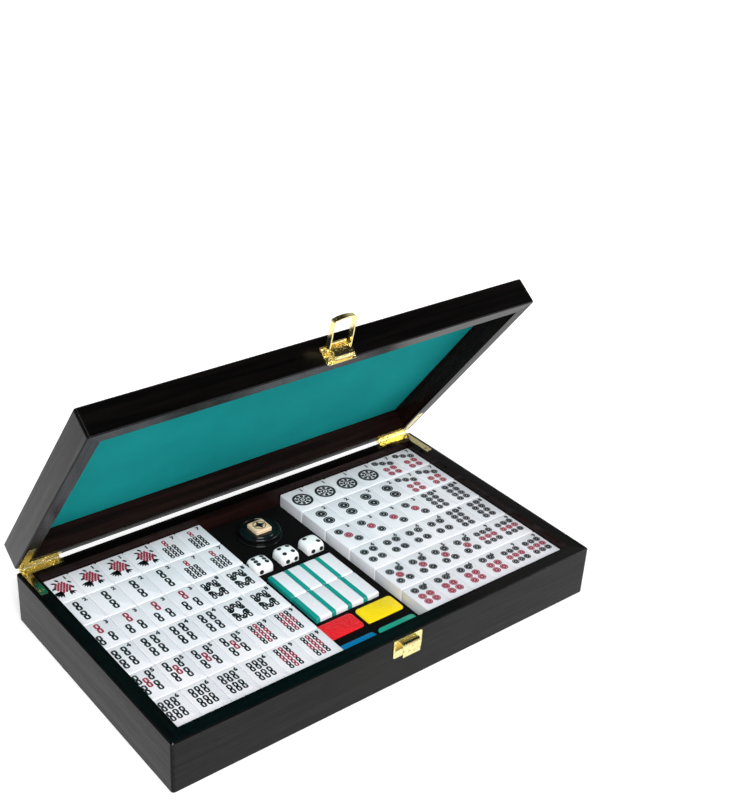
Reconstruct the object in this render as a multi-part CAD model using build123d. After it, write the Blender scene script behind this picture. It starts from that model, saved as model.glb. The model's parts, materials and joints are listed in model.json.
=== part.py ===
from build123d import *
import math
import os

# Mahjong case, in millimetres.
# Origin: centre of the case's underside. +X to the right seen from the front, +Y to the back,
# +Z up. The lid stands open on its two corner hinges.

# ------------------------------------------------------------------ driving dimensions
# wooden case, sized by what it holds
wall_thickness = 11.0
corner_radius = 2.2          # upright outer corners
edge_bevel = 0.8             # eased outer edges of the rims, top and underside
rim_gap = 0.5                # between the two rims when the lid is shut
lid_height = 20.5
floor_thickness = 5.0
lid_panel_thickness = 3.0
rebate_depth = 5.0           # how far a panel is let into the walls
panel_clearance = 0.1
floor_lining_thickness = 1.0
lid_lining_thickness = 0.5
lining_clearance = 0.3
lid_open_angle = 53.5

# tiles
tile_width = 22.0
tile_height = 30.0
tile_front_thickness = 10.8
tile_back_thickness = 3.2
tile_gap = 0.1
tile_edge = 0.8
tile_rows = 6
tile_columns = 6
tile_layers = 2
block_side_clearance = 0.25  # between a block and the wall or the tray's space
back_wall_clearance = 0.3
front_slack = 5.2            # free space in front of the blocks
headroom = 6.5               # from the upper tiles to the base's rim

# centre tray and what lies in it
tray_side_clearance = 0.3
tray_side_rib = 2.2
tray_front_rim = 1.0
tray_height = 18.5
pocket_clearance = 0.3
counter_width = 32.6
counter_depth = 17.6
counter_thickness = 3.2
counter_radius = 3.0
counters_in_stack = 6
counter_rib = 2.6            # between a left and a right pocket
counter_row_rib = 7.4        # between a front and a back pocket
spare_columns = 4
spare_rows = 2
spare_rib = 3.1              # between the counters' and the spare tiles' pockets
die_size = 16.8
die_bevel = 2.4
die_gap = 6.0                # between two dice's pockets
die_rib = 7.3                # between the spare tiles' and the dice's pockets
die_pocket_depth = 10.0
marker_rib = 8.2             # between the dice's pockets and the marker's flange
marker_body_radius = 15.4
marker_flange_overhang = 2.4
marker_step = 1.0
marker_bevel = 1.2
marker_flange_height = 1.7
marker_body_height = 6.4     # above the tray
marker_floor = 2.3           # below the cube
marker_cube_size = 14.4
marker_cube_bevel = 1.0
marker_cube_rise = 9.5       # cube's top above the tray

# corner hinges
barrel_radius = 1.85
barrel_clearance = 0.15      # between the barrel and the case's back face
hinge_pin_radius = 0.9
running_clearance = 0.05
leaf_thickness = 0.9
leaf_proud = 0.1             # how far a leaf stands out of its mortise
leaf_inset = 3.0             # from the case's side to the leaf
leaf_width = 6.0
back_arm_length = 32.0
side_arm_length = 33.0
leaf_corner_bevel = 1.0
mortise_clearance = 0.1
knuckle_count = 3
knuckle_gap = 0.3
pin_head_overhang = 0.55
pin_head_height = 0.7
screw_head_radius = 1.9
screw_shank_radius = 0.85
screw_length = 8.0
screw_sides = 8
screw_end_inset = 5.0        # from the free end of an arm to its screw
corner_turns = 3             # flats in a rounded corner of what repeats

# latch on the lid and hook on the base
latch_offset = 3.4           # the latch sits this far right of the middle
sheet_thickness = 0.8
latch_plate_height = 14.0
latch_plate_drop = 1.2       # below the lid's rim, over the eased edge of the base's
plate_corner_radius = 1.5
pivot_radius = 0.7
lever_pivot_lift = 1.9       # above the lid's rim
lever_knuckle_radius = 2.2
lever_back_clearance = 0.2   # between the lever and its plate
lever_half_width = 6.8
lever_side_gap = 0.6         # between the lever and an ear
lever_length = 10.3
lever_wall = 0.7
thumb_lip_radius = 0.9
bail_pivot_lift = 8.0        # above the lid's rim
bail_back_clearance = 0.3    # between the bail and its plate
bail_strip_width = 4.2
bail_strip_thickness = 0.9
bail_side_gap = 0.2          # between the bail and an ear
bail_bow = 1.5               # the cross strip bows out by this
bail_corner_radius = 2.2
bail_rest_angle = 115.0      # swung up from hanging straight down
rivet_head_radius = 1.4
rivet_head_height = 0.5
hook_plate_height = 15.0
plate_gap = 0.5              # between the latch's plate and the hook's when the lid is shut
hook_plate_margin = 0.2      # wider than the latch's plate on each side
hook_side_gap = 0.8          # between the hook and a leg of the bail
hook_reach = 5.2
hook_drop_top = 2.4
hook_bottom_rise = 2.0       # hook's lower edge above the plate's lower edge
hook_bend_radius = 2.6
hook_clearance = 0.4         # between the hook's lower edge and the bail's cross strip
nail_width = 0.9
nail_sides = 8               # of its head
nail_length = 7.0
nail_head_radius = 1.0
nail_head_height = 0.5
nail_head_taper = 30.0       # degrees
nail_edge = 1.9

# ------------------------------------------------------------------ worked-out places
tile_thickness = tile_front_thickness + tile_back_thickness
tile_pitch_x = tile_width + tile_gap
tile_pitch_y = tile_height + tile_gap
block_width = tile_columns * tile_pitch_x - tile_gap
block_depth = tile_rows * tile_pitch_y - tile_gap
counter_pocket_width = counter_width + 2 * pocket_clearance
counter_pocket_depth = counter_depth + 2 * pocket_clearance
tray_width = 2 * (counter_pocket_width + tray_side_rib) + counter_rib
tray_space = tray_width + 2 * tray_side_clearance
inner_width = tray_space + 2 * (block_width + 2 * block_side_clearance)
inner_depth = block_depth + back_wall_clearance + front_slack
floor_level = floor_thickness + floor_lining_thickness
half_width = inner_width / 2 + wall_thickness
half_depth = inner_depth / 2 + wall_thickness
case_width = 2 * half_width
case_depth = 2 * half_depth
base_height = floor_level + tile_layers * tile_thickness + headroom
lid_rim = base_height + rim_gap
lid_top = lid_rim + lid_height
hinge_y = half_depth + barrel_radius + barrel_clearance
hinge_z = base_height + rim_gap / 2
hinge_axis = Axis((0, hinge_y, hinge_z), (-1, 0, 0))
block_centre_x = (tray_space + inner_width) / 4
block_centre_y = inner_depth / 2 - back_wall_clearance - block_depth / 2

tray_top = floor_level + tray_height
tray_depth = inner_depth - 2 * lining_clearance
counter_front_centre = tray_front_rim + (counter_pocket_depth - tray_depth) / 2
counter_back_centre = counter_front_centre + counter_pocket_depth + counter_row_rib
spare_pocket_width = spare_columns * (tile_thickness + tile_gap) + 2 * pocket_clearance
spare_pocket_depth = spare_rows * tile_pitch_y + 2 * pocket_clearance
spare_centre = counter_back_centre + spare_rib + (counter_pocket_depth + spare_pocket_depth) / 2
die_pocket_size = die_size + 2 * pocket_clearance
die_pitch = die_pocket_size + die_gap
die_centre = spare_centre + die_rib + (spare_pocket_depth + die_pocket_size) / 2
marker_flange_radius = marker_body_radius + marker_flange_overhang
marker_step_radius = marker_body_radius + marker_step
marker_centre = die_centre + die_pocket_size / 2 + marker_rib + marker_flange_radius
marker_socket_floor = tray_top + marker_cube_rise - marker_cube_size
marker_bottom = marker_socket_floor - marker_floor

bore_radius = hinge_pin_radius + running_clearance
pivot_bore_radius = pivot_radius + running_clearance
lever_pivot_reach = sheet_thickness + lever_back_clearance + lever_knuckle_radius
lever_pivot_z = lid_rim + lever_pivot_lift
bail_pivot_reach = sheet_thickness + bail_back_clearance + bail_strip_width / 2
bail_pivot_z = lid_rim + bail_pivot_lift
ear_inner_half_width = lever_half_width + lever_side_gap
ear_outer_half_width = ear_inner_half_width + sheet_thickness
bail_inner_half_width = ear_outer_half_width + bail_side_gap
bail_outer_half_width = bail_inner_half_width + bail_strip_thickness
latch_plate_width = 2 * (bail_outer_half_width + nail_head_radius + nail_edge)
hook_plate_width = latch_plate_width + 2 * hook_plate_margin
latch_plate_bottom = lid_rim - latch_plate_drop
hook_plate_top = latch_plate_bottom - plate_gap
hook_plate_bottom = hook_plate_top - hook_plate_height
hook_low = hook_plate_bottom + hook_bottom_rise
hook_top = hook_plate_top - hook_drop_top
hook_half_width = bail_inner_half_width - hook_side_gap
bail_length = bail_pivot_z - hook_low + hook_clearance + bail_strip_thickness

nodes = {}


def box_between(low, high):
    """Box from its lowest to its highest corner."""
    size = [b - a for a, b in zip(low, high)]
    middle = [(a + b) / 2 for a, b in zip(low, high)]
    return Pos(*middle) * Box(*size)


def x_rod(radius, x_low, x_high, y, z):
    """Round rod along X."""
    rod = Rot(0, 90, 0) * Cylinder(radius, x_high - x_low)
    return Pos((x_low + x_high) / 2, y, z) * rod


def rounded_plan(width, depth, radius):
    """Rectangle whose corners are rounded in a few equal turns, for what repeats many times."""
    points = []
    for quarter in range(4):
        x_sign = 1 if quarter in (0, 3) else -1
        y_sign = 1 if quarter in (0, 1) else -1
        for step in range(corner_turns + 1):
            turn = math.radians(90 * (quarter + step / corner_turns))
            x = x_sign * (width / 2 - radius) + radius * math.cos(turn)
            y = y_sign * (depth / 2 - radius) + radius * math.sin(turn)
            points.append((x, y))
    return make_face(Polyline(*points, close=True))


def opened(shape):
    """Turn a piece of the shut lid about the hinge axis to where the open lid holds it."""
    return shape.rotate(hinge_axis, lid_open_angle)


# ------------------------------------------------------------------ wooden walls and panels
def case_ring(height, panel_thickness, panel_below):
    """Four walls in one ring on z = 0, eased outside and rebated inside for the panel."""
    ring = Pos(0, 0, height / 2) * Box(case_width, case_depth, height)
    ring = fillet(ring.edges().filter_by(Axis.Z), corner_radius)
    ring = chamfer(ring.faces().sort_by(Axis.Z)[0].edges(), edge_bevel)
    ring = chamfer(ring.faces().sort_by(Axis.Z)[-1].edges(), edge_bevel)
    ring -= Pos(0, 0, height / 2) * Box(inner_width, inner_depth, 2 * height)
    rebate_z = panel_thickness / 2 if panel_below else height - panel_thickness / 2
    rebate = Box(inner_width + 2 * rebate_depth, inner_depth + 2 * rebate_depth, panel_thickness)
    return ring - Pos(0, 0, rebate_z) * rebate


def mitred(ring, height):
    """Cut a ring at its 45 degree mitres into its four walls."""
    over = wall_thickness
    under = 1.5 * wall_thickness
    x_out, y_out = half_width + over, half_depth + over
    x_in, y_in = half_width - under, half_depth - under
    outlines = {
        "front_wall": [(-x_out, -y_out), (x_out, -y_out), (x_in, -y_in), (-x_in, -y_in)],
        "back_wall": [(x_out, y_out), (-x_out, y_out), (-x_in, y_in), (x_in, y_in)],
        "left_wall": [(-x_out, y_out), (-x_out, -y_out), (-x_in, -y_in), (-x_in, y_in)],
        "right_wall": [(x_out, -y_out), (x_out, y_out), (x_in, y_in), (x_in, -y_in)],
    }
    walls = {}
    for name, points in outlines.items():
        wedge = extrude(make_face(Polyline(*points, close=True)), amount=height)
        walls[name] = ring & wedge
    return walls


def panel(thickness, z_low):
    """Plywood panel that fills a ring's rebate."""
    width = inner_width + 2 * (rebate_depth - panel_clearance)
    depth = inner_depth + 2 * (rebate_depth - panel_clearance)
    return Pos(0, 0, z_low + thickness / 2) * Box(width, depth, thickness)


def lining(thickness, z_low):
    """Thin sheet glued to a panel between the walls."""
    width = inner_width - 2 * lining_clearance
    depth = inner_depth - 2 * lining_clearance
    return Pos(0, 0, z_low + thickness / 2) * Box(width, depth, thickness)


# ------------------------------------------------------------------ corner hinges
# Each hinge is made for the left corner, and mirrored for the right one.
leaf_left = -half_width + leaf_inset


def leaf_outline(grow):
    """L-shaped outline of a hinge leaf, in plan, grown all round by a clearance."""
    back_arm = Rectangle(back_arm_length + 2 * grow, leaf_width + 2 * grow)
    back_arm = Pos(leaf_left + back_arm_length / 2, half_depth - leaf_width / 2) * back_arm
    side_arm = Rectangle(leaf_width + 2 * grow, side_arm_length + 2 * grow)
    side_arm = Pos(leaf_left + leaf_width / 2, half_depth - side_arm_length / 2) * side_arm
    outline = back_arm + side_arm
    return chamfer(outline.vertices(), leaf_corner_bevel)


def screw_places():
    """Where a leaf's screws are, in plan: at the end of each arm and at the corner."""
    arm_middle = leaf_width / 2
    return [
        (leaf_left + arm_middle, half_depth - side_arm_length + screw_end_inset),
        (leaf_left + arm_middle, half_depth - arm_middle),
        (leaf_left + back_arm_length - screw_end_inset, half_depth - arm_middle),
    ]


def screw(grow=0.0):
    """Countersunk screw that points down, its head's flat top at z = 0."""
    head = RegularPolygon(screw_head_radius + grow, screw_sides)
    shank = RegularPolygon(screw_shank_radius + grow, screw_sides)
    under_head = Pos(0, 0, -leaf_thickness) * shank
    return loft([head, under_head]) + extrude(under_head, amount=leaf_thickness - screw_length)


def knuckles(first):
    """Every second knuckle of the barrel, from the first one that this leaf owns."""
    pitch = (back_arm_length - 2 * leaf_corner_bevel) / knuckle_count
    start = leaf_left + leaf_corner_bevel
    spans = []
    for index in range(first, knuckle_count, 2):
        low = start + index * pitch + knuckle_gap / 2
        spans.append((low, low + pitch - knuckle_gap))
    return spans


def hinge_leaf(leaf_low, first_knuckle, screws):
    """One leaf: the L plate, the tongues to its knuckles, the rolled barrel and its holes."""
    leaf = Pos(0, 0, leaf_low) * extrude(leaf_outline(0.0), amount=leaf_thickness)
    leaf_high = leaf_low + leaf_thickness
    for low, high in knuckles(first_knuckle):
        leaf += box_between((low, half_depth - leaf_width / 2, leaf_low), (high, hinge_y, leaf_high))
        leaf += x_rod(barrel_radius, low, high, hinge_y, hinge_z)
    leaf -= x_rod(bore_radius, -half_width, leaf_left + back_arm_length + 1, hinge_y, hinge_z)
    for hole in screws:
        leaf -= hole
    return leaf


def hinge_pin():
    """Pin through the whole barrel, with a small head just clear of its outer end."""
    head_end = knuckles(0)[0][0] - running_clearance
    end = knuckles(0)[-1][1]
    head_radius = hinge_pin_radius + pin_head_overhang
    head = x_rod(head_radius, head_end - pin_head_height, head_end, hinge_y, hinge_z)
    return head + x_rod(hinge_pin_radius, head_end, end, hinge_y, hinge_z)


def base_screws(grow=0.0):
    """The base leaf's screws, pointing down."""
    top = base_height + leaf_proud
    return [Pos(x, y, top) * screw(grow) for x, y in screw_places()]


def lid_screws(grow=0.0):
    """The lid leaf's screws, pointing up into the shut lid."""
    low = lid_rim - leaf_proud
    return [Pos(x, y, low) * Rot(180, 0, 0) * screw(grow) for x, y in screw_places()]


def both_sides(shape):
    """A left piece and its mirror image on the right."""
    return [shape, mirror(shape, Plane.YZ)]


def mortise(z_low, z_high):
    """Recess for a leaf, open at the case's back so that the tongues come out."""
    pocket = extrude(Pos(0, 0, z_low) * leaf_outline(mortise_clearance), amount=z_high - z_low)
    back_low = (leaf_left, half_depth - leaf_width / 2, z_low)
    back_high = (leaf_left + back_arm_length, half_depth + 1, z_high)
    return pocket + box_between(back_low, back_high)


# ------------------------------------------------------------------ latch and hook
def front_plate(width, z_low, height):
    """Thin pressed plate on the case's front face, with rounded corners."""
    plate = extrude(Plane.XZ * rounded_plan(width, height, plate_corner_radius), amount=sheet_thickness)
    return Pos(latch_offset, -half_depth, z_low + height / 2) * plate


def side_profile(points):
    """Face in the YZ plane at the latch, from (reach, z) pairs: reach is out from the front."""
    line = Polyline(*[(latch_offset, -half_depth - reach, z) for reach, z in points], close=True)
    return make_face(line)


def slab(face, half_low, half_high):
    """Extrude a YZ face at the latch's middle so that it spans two distances along X."""
    return Pos(half_low, 0, 0) * extrude(face, amount=half_high - half_low, dir=(1, 0, 0))


def at_pivot(radius, x_low, x_high, reach, z):
    """Rod along X at a pivot of the latch."""
    return x_rod(radius, latch_offset + x_low, latch_offset + x_high, -half_depth - reach, z)


def ear(sign):
    """Ear folded out of the latch plate: it carries the lever's pin and the bail's rivet."""
    low, high = sorted((sign * ear_inner_half_width, sign * ear_outer_half_width))
    z_low = lever_pivot_z - lever_knuckle_radius
    z_high = bail_pivot_z + bail_strip_width / 2 - running_clearance
    root = side_profile([(0, z_low), (lever_pivot_reach, z_low), (bail_pivot_reach, z_high), (0, z_high)])
    shape = slab(root, low, high)
    shape += at_pivot(lever_knuckle_radius, low, high, lever_pivot_reach, lever_pivot_z)
    shape += at_pivot(z_high - bail_pivot_z, low, high, bail_pivot_reach, bail_pivot_z)
    return shape


def latch_plate():
    """Plate with its two ears, drilled for the pin, the rivets and the nails."""
    plate = front_plate(latch_plate_width, latch_plate_bottom, latch_plate_height)
    for sign in (-1, 1):
        plate += ear(sign)
    reach = latch_plate_width
    plate -= at_pivot(pivot_radius, -reach, reach, lever_pivot_reach, lever_pivot_z)
    plate -= at_pivot(pivot_radius, -reach, reach, bail_pivot_reach, bail_pivot_z)
    for hole in plate_nails(head=False):
        plate -= hole
    return plate


def latch_lever():
    """Hollow pressed lever: a rounded knuckle, a flat face and a rolled lip for the thumb."""
    face_reach = lever_pivot_reach + lever_knuckle_radius
    back_reach = lever_pivot_reach - lever_knuckle_radius
    z_top = lever_pivot_z + lever_length
    outline = [(back_reach, lever_pivot_z), (face_reach, lever_pivot_z), (face_reach, z_top),
               (back_reach + lever_wall, z_top)]
    half = lever_half_width
    body = slab(side_profile(outline), -half, half)
    body += at_pivot(lever_knuckle_radius, -half, half, lever_pivot_reach, lever_pivot_z)
    inside_half = half - lever_wall
    inside = [(back_reach - lever_wall, lever_pivot_z), (face_reach - lever_wall, lever_pivot_z),
              (face_reach - lever_wall, z_top + lever_wall), (back_reach - lever_wall, z_top + lever_wall)]
    body -= slab(side_profile(inside), -inside_half, inside_half)
    body += at_pivot(thumb_lip_radius, -half, half, face_reach, z_top - thumb_lip_radius)
    return body - at_pivot(pivot_bore_radius, -2 * half, 2 * half, lever_pivot_reach, lever_pivot_z)


def lever_pin():
    """Pin through both ears and the lever's knuckle."""
    half = ear_outer_half_width
    return at_pivot(pivot_radius, -half, half, lever_pivot_reach, lever_pivot_z)


def bail_rivets():
    """Two rivets, one in each ear, that the bail swings on."""
    rivets = []
    head_start = bail_outer_half_width + running_clearance
    head_end = head_start + rivet_head_height
    for sign in (-1, 1):
        neck = sorted((sign * ear_inner_half_width, sign * head_start))
        head = sorted((sign * head_start, sign * head_end))
        rivet = at_pivot(pivot_radius, neck[0], neck[1], bail_pivot_reach, bail_pivot_z)
        rivet += at_pivot(rivet_head_radius, head[0], head[1], bail_pivot_reach, bail_pivot_z)
        rivets.append(rivet)
    return rivets


def bail_outline(half, length, corner):
    """Front view of the bail's outer or inner edge, hanging from its pivot at the origin."""
    rise = bail_strip_width / 2
    sides = Polyline((-half, -length), (-half, rise), (half, rise), (half, -length))
    cross = ThreePointArc((half, -length), (0, -length - bail_bow), (-half, -length))
    face = make_face(sides + cross)
    lower = face.vertices().sort_by(Axis.Y)[0:2]
    return fillet(lower, corner)


def latch_bail():
    """U-shaped strip, bent with its broad side along the pivot, as it hangs straight down."""
    inner_corner = bail_corner_radius - bail_strip_thickness
    outer = bail_outline(bail_outer_half_width, bail_length, bail_corner_radius)
    inner = bail_outline(bail_inner_half_width, bail_length - bail_strip_thickness, inner_corner)
    strip = extrude(Plane.XZ * (outer - inner), amount=bail_strip_width / 2, both=True)
    leg = Pos(0, -bail_length) * Rectangle(bail_strip_width, 2 * bail_length) + Circle(bail_strip_width / 2)
    envelope = extrude(Plane.YZ * leg, amount=2 * bail_outer_half_width, both=True)
    bail = Pos(latch_offset, -half_depth - bail_pivot_reach, bail_pivot_z) * (strip & envelope)
    reach = 2 * bail_outer_half_width
    return bail - at_pivot(pivot_bore_radius, -reach, reach, bail_pivot_reach, bail_pivot_z)


def swung_bail():
    """The bail swung up about its pivot from hanging to its rest angle, in the shut lid's frame."""
    pivot = Axis((0, -half_depth - bail_pivot_reach, bail_pivot_z), (1, 0, 0))
    return latch_bail().rotate(pivot, -bail_rest_angle)


def bent_corner(width, height, radius):
    """Rectangle with one rounded corner, at its outer upper end."""
    face = Rectangle(width, height)
    corner = face.vertices().group_by(Axis.X)[-1].sort_by(Axis.Y)[-1]
    return fillet(corner, radius)


def catch_hook():
    """Plate on the base with the rounded hook that the bail's cross strip goes under."""
    plate = front_plate(hook_plate_width, hook_plate_bottom, hook_plate_height)
    height = hook_top - hook_low
    outer = bent_corner(hook_reach, height, hook_bend_radius)
    hollow = bent_corner(hook_reach - 2 * sheet_thickness, height, hook_bend_radius - sheet_thickness)
    middle = (latch_offset, -half_depth - hook_reach / 2, (hook_top + hook_low) / 2)
    section = Plane(middle, (0, -1, 0), (-1, 0, 0)) * (outer - Pos(0, -sheet_thickness) * hollow)
    plate += extrude(section, amount=hook_half_width, both=True)
    for hole in hook_nails(head=False):
        plate -= hole
    return plate


def nail(head=True):
    """Nail that points into the front face, its plate's front at y = 0: a square shank and a head."""
    shank = box_between((-nail_width / 2, 0, -nail_width / 2), (nail_width / 2, nail_length, nail_width / 2))
    if not head:
        return shank
    base = Plane.XZ * RegularPolygon(nail_head_radius, nail_sides)
    return shank + extrude(base, amount=nail_head_height, taper=nail_head_taper)


def nail_grid(plate_width, z_low, height):
    """The four nail places of a front plate."""
    half = plate_width / 2 - nail_edge
    return [(latch_offset + sign * half, z) for sign in (-1, 1)
            for z in (z_low + nail_edge, z_low + height - nail_edge)]


def plate_nails(head=True):
    """Nails of the lid's latch plate, or plain shanks to cut their holes with."""
    shape = nail(head)
    places = nail_grid(latch_plate_width, latch_plate_bottom, latch_plate_height)
    return [Pos(x, -half_depth - sheet_thickness, z) * shape for x, z in places]


def hook_nails(head=True):
    """Nails of the base's hook plate, or plain shanks to cut their holes with."""
    shape = nail(head)
    places = nail_grid(hook_plate_width, hook_plate_bottom, hook_plate_height)
    return [Pos(x, -half_depth - sheet_thickness, z) * shape for x, z in places]


# ------------------------------------------------------------------ tiles
def tile_solid(thickness, eased):
    """Tile slab on z = 0. An eased one has the edges of its face bevelled."""
    solid = Pos(0, 0, thickness / 2) * Box(tile_width, tile_height, thickness)
    if not eased:
        return solid
    return chamfer(solid.faces().sort_by(Axis.Z)[-1].edges(), tile_edge)


def tile_block(solid, centre_x, z_low):
    """Rows and columns of one tile solid."""
    placed = []
    for row in range(tile_rows):
        for column in range(tile_columns):
            x = centre_x + (column - (tile_columns - 1) / 2) * tile_pitch_x
            y = block_centre_y + (row - (tile_rows - 1) / 2) * tile_pitch_y
            placed.append(Pos(x, y, z_low) * solid)
    return placed


def spare_tiles(thickness, x_shift):
    """Spare tiles on their long edge, faces to the right, in columns and rows."""
    solid = Pos(0, 0, tile_width / 2) * Box(thickness, tile_height, tile_width)
    edges = solid.edges().filter_by(Axis.Z) + solid.faces().sort_by(Axis.Z)[-1].edges()
    across = edges.filter_by(Axis.X)
    solid = chamfer(across, tile_edge)
    placed = []
    pitch = tile_thickness + tile_gap
    for column in range(spare_columns):
        for row in range(spare_rows):
            x = (column - (spare_columns - 1) / 2) * pitch + x_shift
            y = spare_centre + (row - (spare_rows - 1) / 2) * tile_pitch_y
            placed.append(Pos(x, y, floor_level) * solid)
    return placed


# ------------------------------------------------------------------ centre tray and small things
def pocket(width, depth, x, y, bottom):
    """Cutter for one pocket of the tray, from its bottom to above the tray's top."""
    return Pos(x, y, bottom) * extrude(Rectangle(width, depth), amount=tray_top - bottom + 1)


def counter_places():
    """Centres of the four counter stacks, by colour."""
    x = (counter_pocket_width + counter_rib) / 2
    return {
        "red_counters": (-x, counter_back_centre),
        "yellow_counters": (x, counter_back_centre),
        "blue_counters": (-x, counter_front_centre),
        "green_counters": (x, counter_front_centre),
    }


def die_places():
    """Centres of the three dice, left to right."""
    return [(step * die_pitch, die_centre) for step in (-1, 0, 1)]


def centre_tray():
    """Board with a pocket for each set of small things, between the two tile blocks."""
    tray = Pos(0, 0, floor_level + tray_height / 2) * Box(tray_width, tray_depth, tray_height)
    below = floor_level - 1
    for x, y in counter_places().values():
        tray -= pocket(counter_pocket_width, counter_pocket_depth, x, y, below)
    tray -= pocket(spare_pocket_width, spare_pocket_depth, 0, spare_centre, below)
    for x, y in die_places():
        tray -= pocket(die_pocket_size, die_pocket_size, x, y, tray_top - die_pocket_depth)
    marker_depth = tray_top - marker_bottom
    hole = Cylinder(marker_body_radius + pocket_clearance, 2 * marker_depth)
    return tray - Pos(0, marker_centre, tray_top) * hole


def die():
    """Die with well-eased edges, on z = 0."""
    solid = Pos(0, 0, die_size / 2) * Box(die_size, die_size, die_size)
    return chamfer(solid.edges(), die_bevel)


def counter():
    """One flat rounded counter, on z = 0."""
    return extrude(rounded_plan(counter_width, counter_depth, counter_radius), amount=counter_thickness)


def marker_base():
    """Round stepped stand with a square socket, its flange on the tray."""
    flange_top = tray_top + marker_flange_height
    top = tray_top + marker_body_height
    outline = [
        (0, marker_bottom), (marker_body_radius, marker_bottom), (marker_body_radius, tray_top),
        (marker_flange_radius, tray_top), (marker_flange_radius, flange_top),
        (marker_step_radius, flange_top),
        (marker_step_radius, top - marker_bevel), (marker_step_radius - marker_bevel, top), (0, top),
    ]
    stand = revolve(Plane.XZ * make_face(Polyline(*outline, close=True)), Axis.Z)
    side = marker_cube_size + 2 * pocket_clearance
    stand -= Pos(0, 0, marker_socket_floor + marker_cube_size / 2) * Box(side, side, marker_cube_size)
    return Pos(0, marker_centre, 0) * stand


def marker_cube():
    """Wooden cube that sits in the stand's socket."""
    cube = Box(marker_cube_size, marker_cube_size, marker_cube_size)
    cube = chamfer(cube.edges(), marker_cube_bevel)
    return Pos(0, marker_centre, tray_top + marker_cube_rise - marker_cube_size / 2) * cube


# ------------------------------------------------------------------ assembly
def build_base():
    """Walls, floor and lining of the base, with the hinges' mortises and pilot holes."""
    walls = mitred(case_ring(base_height, floor_thickness, panel_below=True), base_height)
    leaf_low = base_height + leaf_proud - leaf_thickness
    cutters = both_sides(mortise(leaf_low, base_height + 1))
    for cutter in base_screws(running_clearance):
        cutters += both_sides(cutter)
    for name, wall in walls.items():
        if name != "front_wall":
            for cutter in cutters:
                wall -= cutter
        else:
            for cutter in hook_nails(head=False):
                wall -= cutter
        nodes["base_" + name] = wall
    nodes["base_floor_panel"] = panel(floor_thickness, 0)
    nodes["base_floor_lining"] = lining(floor_lining_thickness, floor_thickness)


def build_lid():
    """Walls, top panel and lining of the lid, opened."""
    ring = case_ring(lid_height, lid_panel_thickness, panel_below=False)
    walls = mitred(ring, lid_height)
    leaf_high = lid_rim - leaf_proud + leaf_thickness
    cutters = both_sides(mortise(lid_rim - 1, leaf_high))
    for cutter in lid_screws(running_clearance):
        cutters += both_sides(cutter)
    for name, wall in walls.items():
        wall = Pos(0, 0, lid_rim) * wall
        if name != "front_wall":
            for cutter in cutters:
                wall -= cutter
        else:
            for cutter in plate_nails(head=False):
                wall -= cutter
        nodes["lid_" + name] = opened(wall)
    panel_low = lid_top - lid_panel_thickness
    nodes["lid_top_panel"] = opened(panel(lid_panel_thickness, panel_low))
    nodes["lid_lining"] = opened(lining(lid_lining_thickness, panel_low - lid_lining_thickness))


def build_hinges():
    """Leaves, pins and screws of both corner hinges."""
    base_low = base_height + leaf_proud - leaf_thickness
    base_leaf = hinge_leaf(base_low, 0, base_screws(running_clearance))
    lid_leaf = hinge_leaf(lid_rim - leaf_proud, 1, lid_screws(running_clearance))
    pieces = zip(("left", "right"), both_sides(base_leaf), both_sides(lid_leaf), both_sides(hinge_pin()))
    for side, base_piece, lid_piece, pin in pieces:
        nodes[side + "_hinge_base_leaf"] = base_piece
        nodes[side + "_hinge_lid_leaf"] = opened(lid_piece)
        nodes[side + "_hinge_pin"] = pin
    nodes["hinge_base_screws"] = [s for one in base_screws() for s in both_sides(one)]
    nodes["hinge_lid_screws"] = [opened(s) for one in lid_screws() for s in both_sides(one)]


def build_latch():
    """Latch on the lid, hook on the base, and their fixings."""
    nodes["latch_plate"] = opened(latch_plate())
    nodes["latch_lever"] = opened(latch_lever())
    nodes["latch_lever_pin"] = opened(lever_pin())
    nodes["latch_bail_rivets"] = [opened(rivet) for rivet in bail_rivets()]
    nodes["latch_bail"] = opened(swung_bail())
    nodes["latch_plate_nails"] = [opened(one) for one in plate_nails()]
    nodes["catch_hook"] = catch_hook()
    nodes["catch_hook_nails"] = hook_nails()


def build_tiles():
    """Two layers of tiles on each side, and the spare tiles on edge in the tray."""
    upper = floor_level + (tile_layers - 1) * tile_thickness
    plain_back = tile_solid(tile_back_thickness, eased=False)
    plain_front = tile_solid(tile_front_thickness, eased=False)
    eased_front = tile_solid(tile_front_thickness, eased=True)
    for side, sign in (("left", -1), ("right", 1)):
        x = sign * block_centre_x
        nodes[side + "_lower_tile_backs"] = tile_block(plain_back, x, floor_level)
        nodes[side + "_lower_tile_fronts"] = tile_block(plain_front, x, floor_level + tile_back_thickness)
        nodes[side + "_upper_tile_backs"] = tile_block(plain_back, x, upper)
        nodes[side + "_upper_tile_fronts"] = tile_block(eased_front, x, upper + tile_back_thickness)
    nodes["spare_tile_fronts"] = spare_tiles(tile_front_thickness, tile_back_thickness / 2)
    nodes["spare_tile_backs"] = spare_tiles(tile_back_thickness, -tile_front_thickness / 2)


def build_tray():
    """Centre tray, dice, marker and counters."""
    nodes["centre_tray"] = centre_tray()
    for index, (x, y) in enumerate(die_places()):
        nodes["die_" + str(index + 1)] = Pos(x, y, tray_top - die_pocket_depth) * die()
    nodes["marker_base"] = marker_base()
    nodes["marker_cube"] = marker_cube()
    for name, (x, y) in counter_places().items():
        nodes[name] = [Pos(x, y, floor_level + step * counter_thickness) * counter()
                       for step in range(counters_in_stack)]


def write_parts():
    """One STEP file for each node."""
    os.makedirs("parts", exist_ok=True)
    for name, shape in nodes.items():
        if isinstance(shape, list):
            shape = Compound([solid for one in shape for solid in one.solids()])
        export_step(shape, "parts/" + name + ".step")


build_base()
build_lid()
build_hinges()
build_latch()
build_tiles()
build_tray()
write_parts()
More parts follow.
